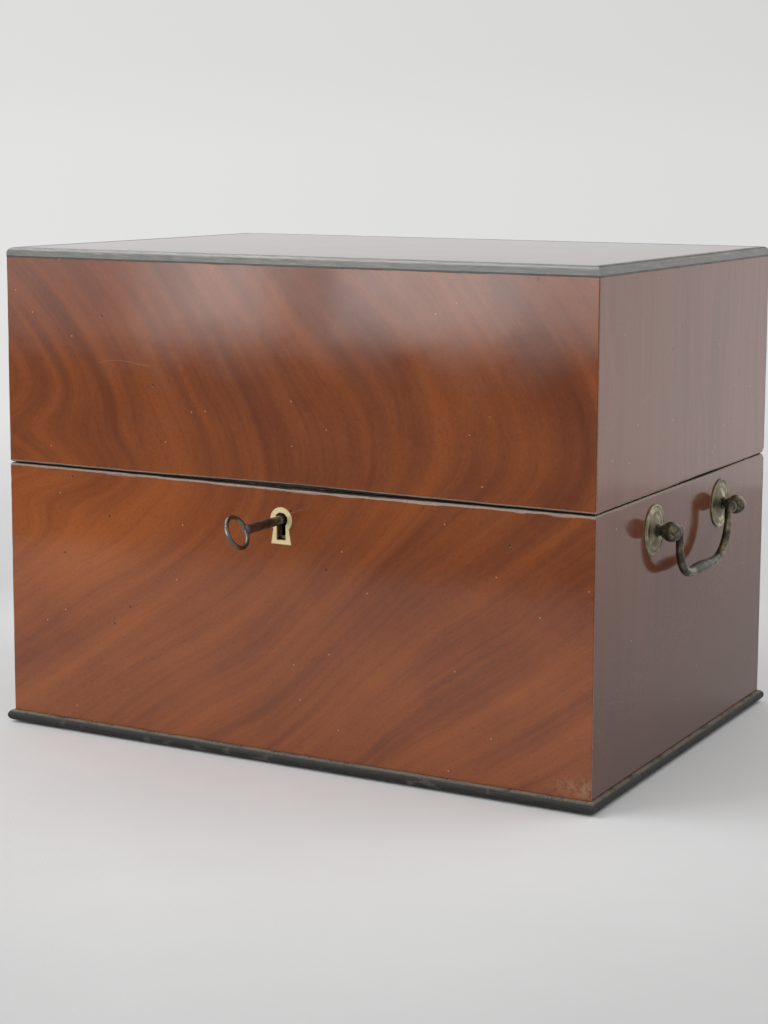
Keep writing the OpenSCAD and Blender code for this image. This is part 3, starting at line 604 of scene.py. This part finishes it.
def ebony(name, worn_colour=(0.17, 0.14, 0.11), gloss=0.3, tan=0.0, lightness=1.0, shine=0.5, shade_lines=()):
    """Ebonised wood, rubbed through to a grey brown where it has been knocked."""
    t = Tree(name)
    grain = t.noise(t.vmath("MULTIPLY", t.pos, (0.1, 0.1, 1.6)), 1.0, 4, 0.65)
    blot = t.noise(t.pos, 0.07, 4, 0.65)
    fine = t.noise(t.pos, 0.9, 3, 0.7)
    stops = ((0.3, (0.017, 0.0165, 0.0155)), (0.55, (0.038, 0.037, 0.034)), (0.8, (0.08, 0.076, 0.068)))
    colour = t.ramp(t.add(t.mul(grain, 0.6), t.mul(blot, 0.4)),
                    *((place, tuple(v * lightness for v in tone)) for place, tone in stops))
    worn = t.step(t.add(t.mul(t.edge(), 0.7), t.mul(fine, 0.4), t.mul(blot, 0.5)), 0.74, 1.05)
    colour = t.mix(t.mul(worn, 0.7), colour, worn_colour)
    if tan:
        ridge = t.mul(t.step(t.z, 5.6, 6.9), t.step(t.add(t.mul(blot, 0.5), t.mul(fine, 0.5)), 0.38, 0.52))
        colour = t.mix(t.mul(ridge, tan), colour, (0.24, 0.19, 0.135))
    # shade_lines: dark lines between the given heights, partly a dark joint and partly painted shade of the
    # joint and groove
    for low, high in shade_lines:
        colour = t.mix(t.mul(t.step(t.z, low - 0.12, low + 0.12),
                             t.step(t.z, high - 0.12, high + 0.12, 1.0, 0.0), 0.9),
                       colour, (0.02, 0.017, 0.014))
    rough = t.add(t.step(blot, 0.3, 0.7, gloss - 0.07, gloss + 0.1), t.mul(worn, 0.25))
    return t.finish(colour, rough, [(grain, 0.035), (fine, 0.02)], Specular_IOR_Level=shine)


def canister_wood(side, flat):
    """Plain mahogany with a pale line let in near the edges of the tea canister on one side."""
    lo, hi = box(f"canister_{side}_box")[0], box(f"canister_{side}_lid")[1]
    t, colour, pores, line = plain_wood(f"canister_mahogany_{side}_{'lid' if flat else 'box'}",
                                        "x" if flat else "y",
                                        "y" if flat else "z", (0.075, 0.025, 0.013), (0.13, 0.044, 0.02),
                                        (0.19, 0.068, 0.03), 4.0 + SIDE_SIGN[side])
    if flat:
        across = t.sub((hi.x - lo.x) / 2, t.size_of(t.sub(t.x, (lo.x + hi.x) / 2)))
        along = t.sub((hi.y - lo.y) / 2, t.size_of(t.sub(t.y, (lo.y + hi.y) / 2)))
        large = t.math("MAXIMUM", across, along)
        second = t.math("MAXIMUM", t.math("MINIMUM", across, along),
                        t.math("MINIMUM", large, t.sub(hi.z, t.z)))
        inlay = t.mul(t.step(second, 4.3, 4.5), t.step(second, 5.3, 5.5, 1.0, 0.0))
        colour = t.mix(inlay, colour, (0.5, 0.36, 0.19))
    return oiled(t, colour, pores, line, 0.16, 0.28, 0.03)


strip_lo, strip_hi = box("edge_strip_front")
# painted highlight: lightness 5.2 lifts the strip's ebony to a pale grey that stands for the bright band its
# roundover mirrors
STRIP = ebony("ebony_strip", (0.3, 0.27, 0.22), 0.36, lightness=5.2,
              # the strip's dark lines at its foot joint and along the top of its roundover are partly a dark
              # joint and partly painted shade
              shade_lines=((strip_lo.z - 1, strip_lo.z + 0.75), (strip_hi.z - 0.75, strip_hi.z - 0.2)))
MOULDING = ebony("ebony_moulding", (0.17, 0.145, 0.115), 0.6, 0.9, 0.7, 0.3)
KNOB = ebony("ebony_knob", gloss=0.22)


# ---------- metals
def metal(name, base, patina, dark, amount=(0.4, 0.7), rough=(0.25, 0.5), metallic=1.0, size=0.12, pit=0.03,
          seed=0.0):
    """Metal with a patina in the hollows of a noise, darker blots and fine scratches."""
    t = Tree(name)
    at = t.vmath("ADD", t.pos, (seed, seed * 2, seed * 3))
    blot = t.noise(at, size, 5, 0.65)
    fine = t.noise(at, 1.3, 4, 0.7)
    scratch = t.noise(t.vmath("MULTIPLY", at, (0.35, 4.0, 0.9)), 1.0, 3, 0.6)
    cover = t.step(t.add(t.mul(blot, 0.8), t.mul(fine, 0.2)), *amount)
    colour = t.mix(cover, base, patina)
    colour = t.mix(t.mul(t.step(fine, 0.56, 0.74), 0.6), colour, dark)
    gloss = t.add(t.step(cover, 0.0, 1.0, *rough), t.mul(scratch, 0.08))
    return t.finish(colour, gloss, [(fine, pit), (scratch, pit * 0.4)],
                    t.step(cover, 0.0, 1.0, metallic, metallic * 0.8))


BRIGHT = metal("bright_brass", (0.7, 0.55, 0.28), (0.5, 0.38, 0.19), (0.26, 0.19, 0.1), rough=(0.28, 0.45),
               pit=0.012)
AGED = metal("aged_brass", (0.26, 0.225, 0.155), (0.052, 0.045, 0.033), (0.02, 0.018, 0.014), (0.36, 0.56),
             (0.14, 0.32))
ROSE_BRASS = metal("rubbed_brass", (0.43, 0.375, 0.25), (0.2, 0.172, 0.115), (0.07, 0.06, 0.043),
                   (0.4, 0.62), (0.28, 0.45), seed=4.0)
STEEL = metal("dark_steel", (0.27, 0.245, 0.22), (0.075, 0.06, 0.05), (0.028, 0.022, 0.018), (0.38, 0.6),
              (0.2, 0.4))
TIN = metal("tin", (0.66, 0.66, 0.63), (0.42, 0.42, 0.4), (0.2, 0.2, 0.19), (0.45, 0.75), (0.28, 0.5),
            size=0.05)
SCUTCHEON = metal("scutcheon_brass", (0.74, 0.62, 0.35), (0.62, 0.5, 0.26), (0.34, 0.25, 0.12),
                  rough=(0.32, 0.45),
                  metallic=0.55, pit=0.01)


# ---------- cloths and glass
def cloth(name, dark, light, weave, pile, sheen):
    t = Tree(name)
    patch = t.noise(t.pos, 0.03, 4, 0.6)
    nap = t.noise(t.pos, pile, 3, 0.7)
    thread = t.math("SINE", t.mul(t.x, weave))
    cross = t.math("SINE", t.mul(t.y, weave))
    colour = t.mix(t.step(t.add(t.mul(patch, 0.6), t.mul(nap, 0.4)), 0.3, 0.7), dark, light)
    return t.finish(colour, t.step(nap, 0.2, 0.8, 0.8, 1.0), [(nap, 0.25), (t.mul(thread, cross), 0.03)],
                    Sheen_Weight=sheen, Sheen_Roughness=0.45, Specular_IOR_Level=0.15)


VELVET = cloth("velvet", (0.09, 0.008, 0.016), (0.17, 0.018, 0.03), 5.0, 1.1, 0.55)
BAIZE = cloth("baize", (0.018, 0.065, 0.04), (0.035, 0.11, 0.066), 7.0, 1.6, 0.25)


def cut_glass():
    t = Tree("bowl_glass")
    haze = t.noise(t.pos, 0.12, 3, 0.6)
    seed = t.noise(t.pos, 0.03, 2, 0.5)
    return t.finish(t.mix(haze, (0.93, 0.98, 0.97), (0.98, 1.0, 0.99)), t.step(haze, 0.3, 0.8, 0.02, 0.07),
                    [(seed, 0.05)],
                    Transmission_Weight=1.0, IOR=1.51)


GLASS = cut_glass()


# ---------- case and lid sides
# Case and lid are chamfered behind the hinge line, and stop on the chamfers
HINGE_Y, HINGE_Z = (((box("hinge_pins")[0] + box("hinge_pins")[1]) / 2)[k] for k in (1, 2))
STOP_SLOPE = math.tan(math.radians(48.5))
STOP_SPARE = 0.06


def case_stop(v):
    return half_y - HINGE_Y - (HINGE_Z - v) / STOP_SLOPE + STOP_SPARE


def lid_stop(v):
    return half_y - HINGE_Y - (v - HINGE_Z) / STOP_SLOPE + STOP_SPARE


def stop_cut(y):
    """How far the chamfer has run down, or up, from the lid gap at y."""
    return max(0.0, (y - HINGE_Y) * STOP_SLOPE - (HINGE_Z - box("case_veneer_right")[1].z) + STOP_SPARE)


def lid_sag(u, v):
    """The lid veneer is rubbed back along the gap, most of all over the middle right of the front."""
    low = 0.25 + 0.95 * math.exp(-((u - 8) / 66) ** 2) + 0.25 * max(0.0, rough_at((u, 0, 0), 9, 4.0))
    return low, 0.0


def case_sag(u, v):
    high = 0.15 + 0.6 * math.exp(-((u - 20) / 66) ** 2) + 0.3 * max(0.0, rough_at((u, 9, 0), 8, 6.0)) + 0.1
    return 0.0, high


def side_sag(u, v):
    return 0.5 * math.exp(-((u - 20) / 26) ** 2) + 0.2 * max(0.0,
                                                             rough_at((u, 5, 0), 8, 8.0)) + stop_cut(u), 0.0


def side_case_sag(u, v):
    return 0.0, 0.35 * math.exp(-((u - 30) / 30) ** 2) + 0.25 * max(0.0,
                                                                    rough_at((u, 7, 0), 8, 2.0)) + stop_cut(u)


key_lo, key_hi = box("escutcheon")
key_z = key_hi.z - (key_hi.x - key_lo.x) / 2
roses_lo, roses_hi = box("handle_roses")
rose_z, rose_y = (roses_lo.z + roses_hi.z) / 2, (roses_lo.y + roses_hi.y) / 2
rose_r = (roses_hi.z - roses_lo.z) / 2
post_step = (roses_hi.y - roses_lo.y) / 2 - rose_r
NECK_DROP, NECK_HALF, FOOT_HALF = 4.5, 4.6, 5.9


def in_scutcheon(u, v, grow):
    """True within the scutcheon's outline, grown by grow millimetres."""
    share = (key_z - NECK_DROP - v) / (key_z - NECK_DROP - key_lo.z)
    half = NECK_HALF + (FOOT_HALF - NECK_HALF) * max(0.0, share)
    return math.hypot(u, v - key_z) < (key_hi.x - key_lo.x) / 2 + grow or (
        key_lo.z - grow < v < key_z and abs(u) < half + grow)


def keyhole_gap(u, v):
    return in_scutcheon(u, v, -0.3)


def keyhole_sink(u, v):
    return 0.14 if in_scutcheon(u, v, 0.12) else 0.0


panel("front", "case", FLAME_FRONT, 1.0,
      (0.4, 0.3, 0.25, 1.2), case_sag, keyhole_gap, 2.4, rub=(0.9, 0.9, 0.9, 1.12), sink=keyhole_sink,
      fine=([-8.2 + 0.45 * k for k in range(37)], [key_lo.z - 1.5 + 0.45 * k for k in range(49)]))
panel("front", "lid", FLAME_FRONT, 2.0, (0.4, 0.3, 0.9, 0.3),
      lid_sag, rub=(0.9, 0.9, 1.1, 0.9))
panel("back", "lid", FLAME_BACK, 3.0,
      (0.5, 0.5, 0.4, 0.3), stop=lid_stop)
panel("back", "case", FLAME_BACK, 4.0,
      (0.5, 0.5, 0.25, 0.4), stop=case_stop)
panel("right", "case", SIDE_RIGHT, 5.0,
      (0.25, 0.4, 0.25, 0.8), side_case_sag, rub=(0.88, 0.9, 0.9, 1.06))
panel("right", "lid", SIDE_RIGHT, 6.0,
      (0.25, 0.4, 0.6, 0.3), side_sag, rub=(0.88, 0.9, 1.0, 0.9))
panel("left", "case", SIDE_LEFT, 7.0,
      (0.4, 0.35, 0.25, 0.5), lambda u, v: side_case_sag(-u, v))
panel("left", "lid", SIDE_LEFT, 8.0,
      (0.4, 0.35, 0.5, 0.3), lambda u, v: side_sag(-u, v))
panel("top", "lid", TOP, 9.0, (0.25,) * 4, fall=0.1)

strip_wide, strip_high = strip_hi.y - strip_lo.y, strip_hi.z - strip_lo.z
ROUND = 3.2
STRIP_OUT = [(0.2, 0.0), (0.0, 0.25), (0.0, strip_high - ROUND)]
STRIP_OUT += [(-ROUND * (1 - math.cos(a)), strip_high - ROUND * (1 - math.sin(a)))
              for a in (math.radians(9 * k) for k in range(1, 11))]
STRIP_OUT += [(-strip_wide + 0.45, strip_high), (-strip_wide, strip_high - 0.35), (-strip_wide, 0.0)]
mould_lo, mould_hi = box("base_moulding_front")
mould_r = (mould_hi.z - mould_lo.z) / 2
MOULD_OUT = [(-1.0, 0.0), (0.0, 0.0)]
MOULD_OUT += [(mould_r * math.cos(a), mould_r + mould_r * math.sin(a))
              for a in (math.radians(-90 + 12 * k) for k in range(16))][1:]
MOULD_OUT += [(-1.0, 2 * mould_r)]
for k, side in enumerate(("front", "back", "left", "right")):
    wall = -mould_r - (mould_lo.y if side in ("front", "back") else mould_lo.x)
    bar(side + "_moulding", "base_moulding_" + side, side,
        [(wall + out, mould_lo.z + up) for out, up in MOULD_OUT], MOULDING, "case", "ebony", 11.0 + k,
        lambda out, reach=wall + mould_r: reach - out)
    bar(side + "_strip", "edge_strip_" + side, side,
        [(wall + out, strip_lo.z + up) for out, up in STRIP_OUT], STRIP, "lid", "ebony", 21.0 + k,
        lambda out, reach=wall: reach - out, dents=0.05)


# ---------- handles
bail_lo, bail_hi = box("bail_right")
pivot_x = (bail_lo.x + bail_hi.x) / 2
ROSE = [(1.9, 0), (13.2, 0), (13.35, 0.35), (13.2, 0.8), (12.7, 1.0), (12.2, 0.85), (11.9, 0.55), (11.4, 0.5),
        (10.9, 0.75), (10.2, 1.0), (9.5, 1.05), (8.9, 0.9), (8.5, 0.7), (7.9, 0.75), (6.6, 1.15), (5.5, 1.65),
        (4.7, 2.0), (4.1, 2.2), (3.2, 2.2), (1.9, 2.2)]
scale_rose = rose_r / 13.35


def side_frame(sign, y):
    """Places local Z pointing away from the side of the case, at a post."""
    turn = Matrix.Rotation(math.radians(90 * sign), 4, "Y")
    return Matrix.Translation((sign * half_x, y, rose_z)) @ turn


roses, posts = bmesh.new(), bmesh.new()
stand_off = pivot_x - half_x
ball = 5.2
POST = [(0, -1.0), (2.0, -1.0), (2.0, 2.2), (3.4, 2.2), (3.4, 2.7), (3.0, 3.1), (2.6, 3.4), (2.5, 4.2),
        (2.9, 4.8), (3.4, 5.0)]
POST += [(ball * math.sin(a), stand_off - ball * math.cos(a))
         for a in (math.radians(46 + 9 * k) for k in range(13))]
POST += [(2.2, stand_off + 4.75), (1.6, stand_off + 5.2), (0, stand_off + 5.2)]
for sign in (1, -1):
    for y in (rose_y - post_step, rose_y + post_step):
        place = side_frame(sign, y)
        lathe(roses, [(r * scale_rose if r > 2 else r, h) for r, h in ROSE] + [(1.9, 0)], place, 64,
              lambda a, r, h, y=y: 0.06 * math.sin(3 * a + y))
        lathe(posts, POST, place, 40)
for bm, name, node in ((roses, "rose_plates", "handle_roses"), (posts, "handle_balls", "handle_posts")):
    stand_for(new_object(name, bm, ROSE_BRASS if name == "rose_plates" else AGED, 40), "case", "aged_brass",
              node)

# one bail: pin, eye, crank, arm and bend at each end of a thick grip. The near bend is the tighter one.
drop = rose_z - bail_lo.z - 3.3
CRANK, EYE = 1.7, 4.6
reach = post_step - ball - 0.5 - EYE - CRANK
END = [(9.4, 0, 1.6), (6.5, 0, 1.6), (6.3, 0, 2.5), (5.8, 0, 3.05), (4.0, 0, 3.2), (2.3, 0, 2.95),
       (1.7, 0, 2.35),
       (1.2, -0.05, 2.2), (0.5, -0.45, 2.15), (0.08, -1.3, 2.1), (0, -2.6, 2.0)]


def bail_half(bend, side):
    """Points from the pin to the end of the bend on one side: (along the pivot line, height, radius)."""
    half = [(side * (reach + out), up, r) for out, up, r in END]
    for k in range(1, 12):
        a = math.radians(8.18 * k)
        half.append((side * (reach - bend + bend * math.cos(a)), -(drop - bend) - bend * math.sin(a),
                     2.0 + 0.3 * a))
    return half


NEAR, FAR = bail_half(17.0, -1), bail_half(21.0, 1)
GRIP_FROM, GRIP_TO = NEAR[-1][0], FAR[-1][0]
GRIP = [(y, -drop, 2.45 + 0.75 * math.exp(-((y + 5) / 13) ** 2))
        for y in (GRIP_FROM + (GRIP_TO - GRIP_FROM) * k / 8 for k in range(1, 8))]
HALVES = NEAR + GRIP + FAR[::-1]
for name, sign in SIDE_SIGN.items():
    bm = bmesh.new()
    sweep(bm, [(sign * pivot_x, rose_y + y, rose_z + z) for y, z, r in HALVES], [r for y, z, r in HALVES], 28)
    stand_for(new_object(name + "_bail", bm, AGED, 50), "bail_" + name, "aged_brass", "bail_" + name)


# ---------- key and scutcheon
klo, khi = box("key")
REST_TURN = math.radians(25)
bow_r, wire = 8.1, 1.15
bow_y = klo.y + bow_r + wire
shank_y = bow_y + bow_r
key_place = Matrix.Translation((0, 0, key_z)) @ Matrix.Rotation(-REST_TURN, 4, "Y")
along_y = key_place @ Matrix.Rotation(math.radians(-90), 4, "X")
bm = bmesh.new()
tip = khi.y
SHANK = [(0, shank_y - 1.0), (1.2, shank_y - 0.95), (1.9, shank_y - 0.4), (2.3, shank_y + 0.8),
         (2.5, shank_y + 2.4),
         (2.5, shank_y + 6), (2.4, -half_y - 9), (2.45, -half_y), (2.5, tip - 0.5), (2.2, tip), (1.3, tip),
         (1.3, tip - 9), (0, tip - 9)]
lathe(bm, SHANK, along_y, 36)
ring = [key_place @ Vector((0, bow_y + bow_r * math.cos(a), bow_r * math.sin(a)))
        for a in (2 * math.pi * k / 64 for k in range(64))]
sweep(bm, ring, [wire] * 64, 18, True)
bit = bmesh.new()
block(bit, (-1, tip - 4.6, -8), (1, tip - 0.6, -1), 0.25)
bit.transform(Matrix.Translation((0, 0, key_z * MM)) @ Matrix.Rotation(-REST_TURN, 4, "Y"))
bit_mesh = bpy.data.meshes.new("bit")
bit.to_mesh(bit_mesh)
bit.free()
bm.from_mesh(bit_mesh)
bpy.data.meshes.remove(bit_mesh)
stand_for(new_object("ring_key", bm, STEEL, 45), "key", "dark_steel", "key")

# ---------- everything else keeps its CAD shape
for mat, soft, nodes in (
        (BOARD_X, 0.4, "case_front lid_front"), (BOARD_X, 0.0, "case_back lid_back"),
        (BOARD_Y, 0.4, "case_left case_right lid_left lid_right"), (INNER_FLAT, 0.0, "case_bottom"),
        (INNER_Z, 0.5, "partition_left partition_right"), (BOARD_TOP, 0.6, "fitted_deck"),
        (BOARD_TOP, 0.0, "lid_top"),
        (BRIGHT, 0.15, "lock_plate hinge_case_leaves hinge_lid_leaves link_plate"),
        (SCUTCHEON, 0.15, "escutcheon"),
        (AGED, 0.15, "lock_cap hinge_pins"), (AGED, 0.1, "case_screws lid_screws"),
        (AGED, 0.2, "handle_nuts"),
        (STEEL, 0.2, "lock_bolt")):
    for node in nodes.split():
        dress(node, mat, soft)
for side in SIDE_SIGN:
    for part, mat, soft in (("box", canister_wood(side, False), 0.7), ("liner", TIN, 0.15),
                            ("lid", canister_wood(side, True), 0.8), ("knob", KNOB, 0.0)):
        dress(f"canister_{side}_{part}", mat, soft)


# ---------- glued cloths and the glass bowl
def glued_cloth(name, lo, hi, mat, body, slot, node, show, seed):
    """A sheet of cloth cut by hand and glued flat. show is 1 where its upper face is seen and -1 where its
    lower one is. The glue draws the nap down along the cut edge."""
    INSET, THICK, STEP = 0.4, 0.8, 4.0
    us, vs = ([a + INSET + (b - a - 2 * INSET) * k / round((b - a) / STEP)
               for k in range(round((b - a) / STEP) + 1)]
              for a, b in ((lo.x, hi.x), (lo.y, hi.y)))
    glued = lo.z + 0.05 if show > 0 else hi.z - 0.05
    bm = bmesh.new()
    layers = []
    for top in (0, 1):
        layer = {}
        for i, u in enumerate(us):
            for j, v in enumerate(vs):
                side_u = (i == 0) - (i == len(us) - 1)
                side_v = (j == 0) - (j == len(vs) - 1)
                near = min(i, len(us) - 1 - i, j, len(vs) - 1 - j)
                cut = 0.3 * rough_at((u, v, 0), 11, seed)
                lift = top * (THICK - 0.3 * math.exp(-near * 1.1) + 0.07 * rough_at((u, v, 5), 17, seed))
                layer[i, j] = bm.verts.new(Vector((u + side_u * abs(cut), v + side_v * abs(cut),
                                                   glued + show * lift)) * MM)
        layers.append(layer)
    last_u, last_v = len(us) - 1, len(vs) - 1
    for layer in layers:
        for i in range(last_u):
            for j in range(last_v):
                bm.faces.new((layer[i, j], layer[i + 1, j], layer[i + 1, j + 1], layer[i, j + 1]))
    rim = [(i, 0) for i in range(last_u)] + [(last_u, j) for j in range(last_v)]
    rim += [(i, last_v) for i in range(last_u, 0, -1)] + [(0, j) for j in range(last_v, 0, -1)]
    for here, there in zip(rim, rim[1:] + rim[:1]):
        bm.faces.new((layers[0][here], layers[0][there], layers[1][there], layers[1][here]))
    obj = stand_for(new_object(name, bm, mat, 60), body, slot, node)


lining_lo, lining_hi = box("lid_lining")
glued_cloth("velvet_lid_lining", lining_lo, lining_hi, VELVET, "lid", "velvet", "lid_lining", -1,
            3.0)
foot_lo, foot_hi = box("base_pad")
glued_cloth("baize_foot", foot_lo, foot_hi, BAIZE, "case", "baize", "base_pad", -1,
            4.0)
pad_lo, pad_hi = box("bay_pads")
wall_in, wall_out = (abs(box("partition_right")[k].x) for k in (0, 1))
for k, (name, x0, x1) in enumerate((("left", pad_lo.x, -wall_out), ("middle", -wall_in, wall_in),
                                    ("right", wall_out, pad_hi.x))):
    glued_cloth(f"velvet_bay_{name}", Vector((x0, pad_lo.y, pad_lo.z)), Vector((x1, pad_hi.y, pad_hi.z)),
                VELVET, "case",
                "velvet", "bay_pads", 1, 5.0 + k)

bowl_lo, bowl_hi = box("mixing_bowl")
FLANGE, BOWL_WALL, RIM_UP = 7.0, 3.5, 9.0
bowl_r = (bowl_hi.x - bowl_lo.x) / 2 - FLANGE
bowl_rest = bowl_hi.z - RIM_UP
bowl_deep = bowl_rest - bowl_lo.z
FLUTES, FLUTE_DEPTH = 24, 1.0
WALL_CURVE = [(0.58, 0.05), (0.66, 0.1), (0.75, 0.18), (0.82, 0.27), (0.875, 0.36), (0.92, 0.46),
              (0.95, 0.56), (0.975, 0.66),
              (0.99, 0.76), (1.0, 0.85)]
outer = [(0, bowl_lo.z + 3), (bowl_r * 0.42, bowl_lo.z + 3), (bowl_r * 0.44, bowl_lo.z + 0.4),
         (bowl_r * 0.455, bowl_lo.z),
         (bowl_r * 0.55, bowl_lo.z), (bowl_r * 0.565, bowl_lo.z + 0.5), (bowl_r * 0.57, bowl_lo.z + 2.6)]
outer += [(bowl_r * w, bowl_lo.z + bowl_deep * h) for w, h in WALL_CURVE]
outer += [(bowl_r, bowl_rest - 0.05), (bowl_r + FLANGE, bowl_rest), (bowl_r + FLANGE, bowl_rest + 2.6),
          (bowl_r + FLANGE - 0.6, bowl_rest + 3.4), (bowl_r + 1.4, bowl_hi.z - 0.7),
          (bowl_r + 0.6, bowl_hi.z),
          (bowl_r - BOWL_WALL + 0.9, bowl_hi.z), (bowl_r - BOWL_WALL, bowl_hi.z - 0.9),
          (bowl_r - BOWL_WALL, bowl_lo.z + bowl_deep * 0.85)]
outer += [(bowl_r * w - BOWL_WALL, bowl_lo.z + bowl_deep * h + 3 * (1 - h)) for w, h in WALL_CURVE[-2:1:-1]]
outer += [(bowl_r * 0.5, bowl_lo.z + 10.5), (bowl_r * 0.25, bowl_lo.z + 8.6), (0, bowl_lo.z + 8)]
FLUTED = {(bowl_r * w, bowl_lo.z + bowl_deep * h): math.sin(math.pi * k / (len(WALL_CURVE) - 1)) for k,
          (w, h) in enumerate(WALL_CURVE)}


def flute(a, radius, height):
    """Long cut flutes up the outside of the wall, which run out at the foot and the shoulder."""
    return -FLUTE_DEPTH * FLUTED.get((radius, height), 0.0) * (1 - abs(math.sin(FLUTES * a / 2)))


bm = bmesh.new()
lathe(bm, outer, Matrix.Identity(4), 192, flute)
stand_for(new_object("cut_glass_bowl", bm, GLASS, 30), "bowl", "bowl_glass", "mixing_bowl")


# ---------- floor, light and camera
def stage_floor():
    t = Tree("pale_cloth")
    weave = t.mul(t.math("SINE", t.mul(t.x, 2.4)), t.math("SINE", t.mul(t.y, 2.4)))
    soil = t.noise(t.pos, 0.006, 4, 0.6)
    colour = t.mix(t.step(soil, 0.3, 0.7), (0.9, 0.91, 0.916), (0.93, 0.94, 0.945))
    away = t.math("SQRT", t.add(t.mul(t.x, t.x), t.mul(t.y, t.y)))
    # painted shade: the cloth is painted darker away from the middle and towards +x
    colour = t.mix(t.add(t.step(away, 250.0, 500.0, 0.0, 0.3), t.step(t.x, 60.0, 420.0, 0.0, 0.1)), colour,
                   (0.4, 0.4, 0.4))
    t.finish(colour, 0.95, [(weave, 0.012), (t.noise(t.pos, 0.02, 3), 0.5)], Specular_IOR_Level=0.1)
    t.feed(t.shader.inputs["Alpha"], t.step(away, 420.0, 1500.0, 1.0, 0.0))
    bm = bmesh.new()
    bmesh.ops.create_circle(bm, cap_ends=True, segments=96, radius=1.6)
    obj = new_object("floor", bm, t.mat)


def soft_light(name, place, target, size, power, mirrored):
    """An area light in metres and watts. Mirrored, it is seen only in reflections; otherwise it only lights."""
    data = bpy.data.lights.new(name, "AREA")
    data.shape = "RECTANGLE"
    data.size, data.size_y = size
    data.energy = power
    obj = bpy.data.objects.new(name, data)
    scene.collection.objects.link(obj)
    obj.location = place
    aim = Vector(target) - Vector(place)
    obj.rotation_euler = aim.to_track_quat("-Z", "Y").to_euler()
    obj.visible_camera = False
    obj.visible_glossy = mirrored
    obj.visible_diffuse = not mirrored


def panel_light(name, x, y, z0, z1, width, radiance):
    """An upright soft box that only the polish mirrors. Its bottom is at z0 and its top at z1."""
    height = z1 - z0
    middle = (z0 + z1) / 2
    soft_light(name, (x, y, middle), (0, 0, middle), (width, height), radiance * math.pi * width * height,
               True)


stage_floor()
for name, *panel_values in (("window_left", -0.905, -1.44, 0.085, 1.1, 0.16, 3.0),
                            ("window_right", -0.655, -1.55, 0.085, 1.1, 0.25, 3.4),
                            ("window_edge", -0.4, -1.6, 0.085, 1.1, 0.24, 1.7),
                            ("window_back", 0.5, 0.85, 0.0, 1.2, 0.8, 0.3),
                            ("wall_glow", -0.8, -1.75, 0.05, 1.1, 1.35, 1.1)):
    panel_light(name, *panel_values)
OVERHEAD_SIZE, OVERHEAD_RADIANCE = (2.6, 1.1), 6.0
soft_light("overhead", (-1.0, -0.1, 2.0), (-0.2, 0, 0.1), OVERHEAD_SIZE,
           OVERHEAD_RADIANCE * math.pi * OVERHEAD_SIZE[0] * OVERHEAD_SIZE[1], True)
soft_light("key_light", (-1.7, -1.3, 1.9), (0, 0, 0.1), (1.8, 1.8), 22, False)
soft_light("fill_light", (1.3, 0.9, 1.9), (0, 0, 0), (1.2, 1.2), 5, False)


def mirrored_dark_card(name, level, x0, x1, y0, y1):
    """A dark sheet on the floor that only the polish mirrors: it paints a dark reflection into the polish."""
    t = Tree(name)
    t.finish((level, level * 0.9, level * 0.85), 0.9)
    bm = bmesh.new()
    bmesh.ops.create_grid(bm, x_segments=1, y_segments=1, size=1)
    for v in bm.verts:
        v.co = (x0 if v.co.x < 0 else x1, y0 if v.co.y < 0 else y1, 0.0015)
    card = new_object(name, bm, t.mat)
    for kind in ("camera", "diffuse", "shadow", "transmission", "volume_scatter"):
        setattr(card, "visible_" + kind, False)


# painted dark reflection: this sheet darkens the low reflections in the front's polish
mirrored_dark_card("black_card", 0.03, -2.8, 1.6, -3.2, -0.57)

world = bpy.data.worlds.new("pale_room")
scene.world = world
world.use_nodes = True
nt = world.node_tree
up = nt.nodes.new("ShaderNodeSeparateXYZ")
nt.links.new(nt.nodes.new("ShaderNodeTexCoord").outputs["Generated"], up.inputs[0])
shade = nt.nodes.new("ShaderNodeValToRGB")
nt.links.new(up.outputs[2], shade.inputs[0])
for k, (place, level) in enumerate(((0.0, 0.77), (0.04, 0.735), (0.5, 0.66), (1.0, 0.6))):
    stop = shade.color_ramp.elements[k] if k < 2 else shade.color_ramp.elements.new(place)
    stop.position = place
    stop.color = (level, level * 0.996, level * 0.99, 1)
sideways = nt.nodes.new("ShaderNodeMapRange")
for name, value in (("From Min", -0.62), ("From Max", -0.31), ("To Min", 1.0), ("To Max", 0.925)):
    sideways.inputs[name].default_value = value
nt.links.new(up.outputs[0], sideways.inputs["Value"])
nt.links.new(shade.outputs[0], nt.nodes["Background"].inputs["Color"])
nt.links.new(sideways.outputs[0], nt.nodes["Background"].inputs["Strength"])

# the camera fitted to the photograph: metres, degrees, and shifts as a share of the picture's height
SENSOR_MM, LENS_MM = 36, 74.36
CAMERA_PLACE = (0.5613, -1.0391, 0.3190)
AZIMUTH, PITCH, ROLL = (math.radians(a) for a in (28.46, 7.60, 0.25))
cam = bpy.data.cameras.new("photo_camera")
cam.sensor_width, cam.lens = SENSOR_MM, LENS_MM
cam.shift_x, cam.shift_y = -8 / 1024, -80 / 1024
cam.clip_start, cam.clip_end = 0.05, 50
camera = bpy.data.objects.new("photo_camera", cam)
scene.collection.objects.link(camera)
forward = Vector((-math.sin(AZIMUTH) * math.cos(PITCH), math.cos(AZIMUTH) * math.cos(PITCH),
                  -math.sin(PITCH)))
level = Vector((math.cos(AZIMUTH), math.sin(AZIMUTH), 0))
steep = level.cross(forward)
right = level * math.cos(ROLL) + steep * math.sin(ROLL)
upward = steep * math.cos(ROLL) - level * math.sin(ROLL)
camera.matrix_world = Matrix.Translation(CAMERA_PLACE) @ Matrix((right, upward,
                                                                 -forward)).transposed().to_4x4()
scene.camera = camera
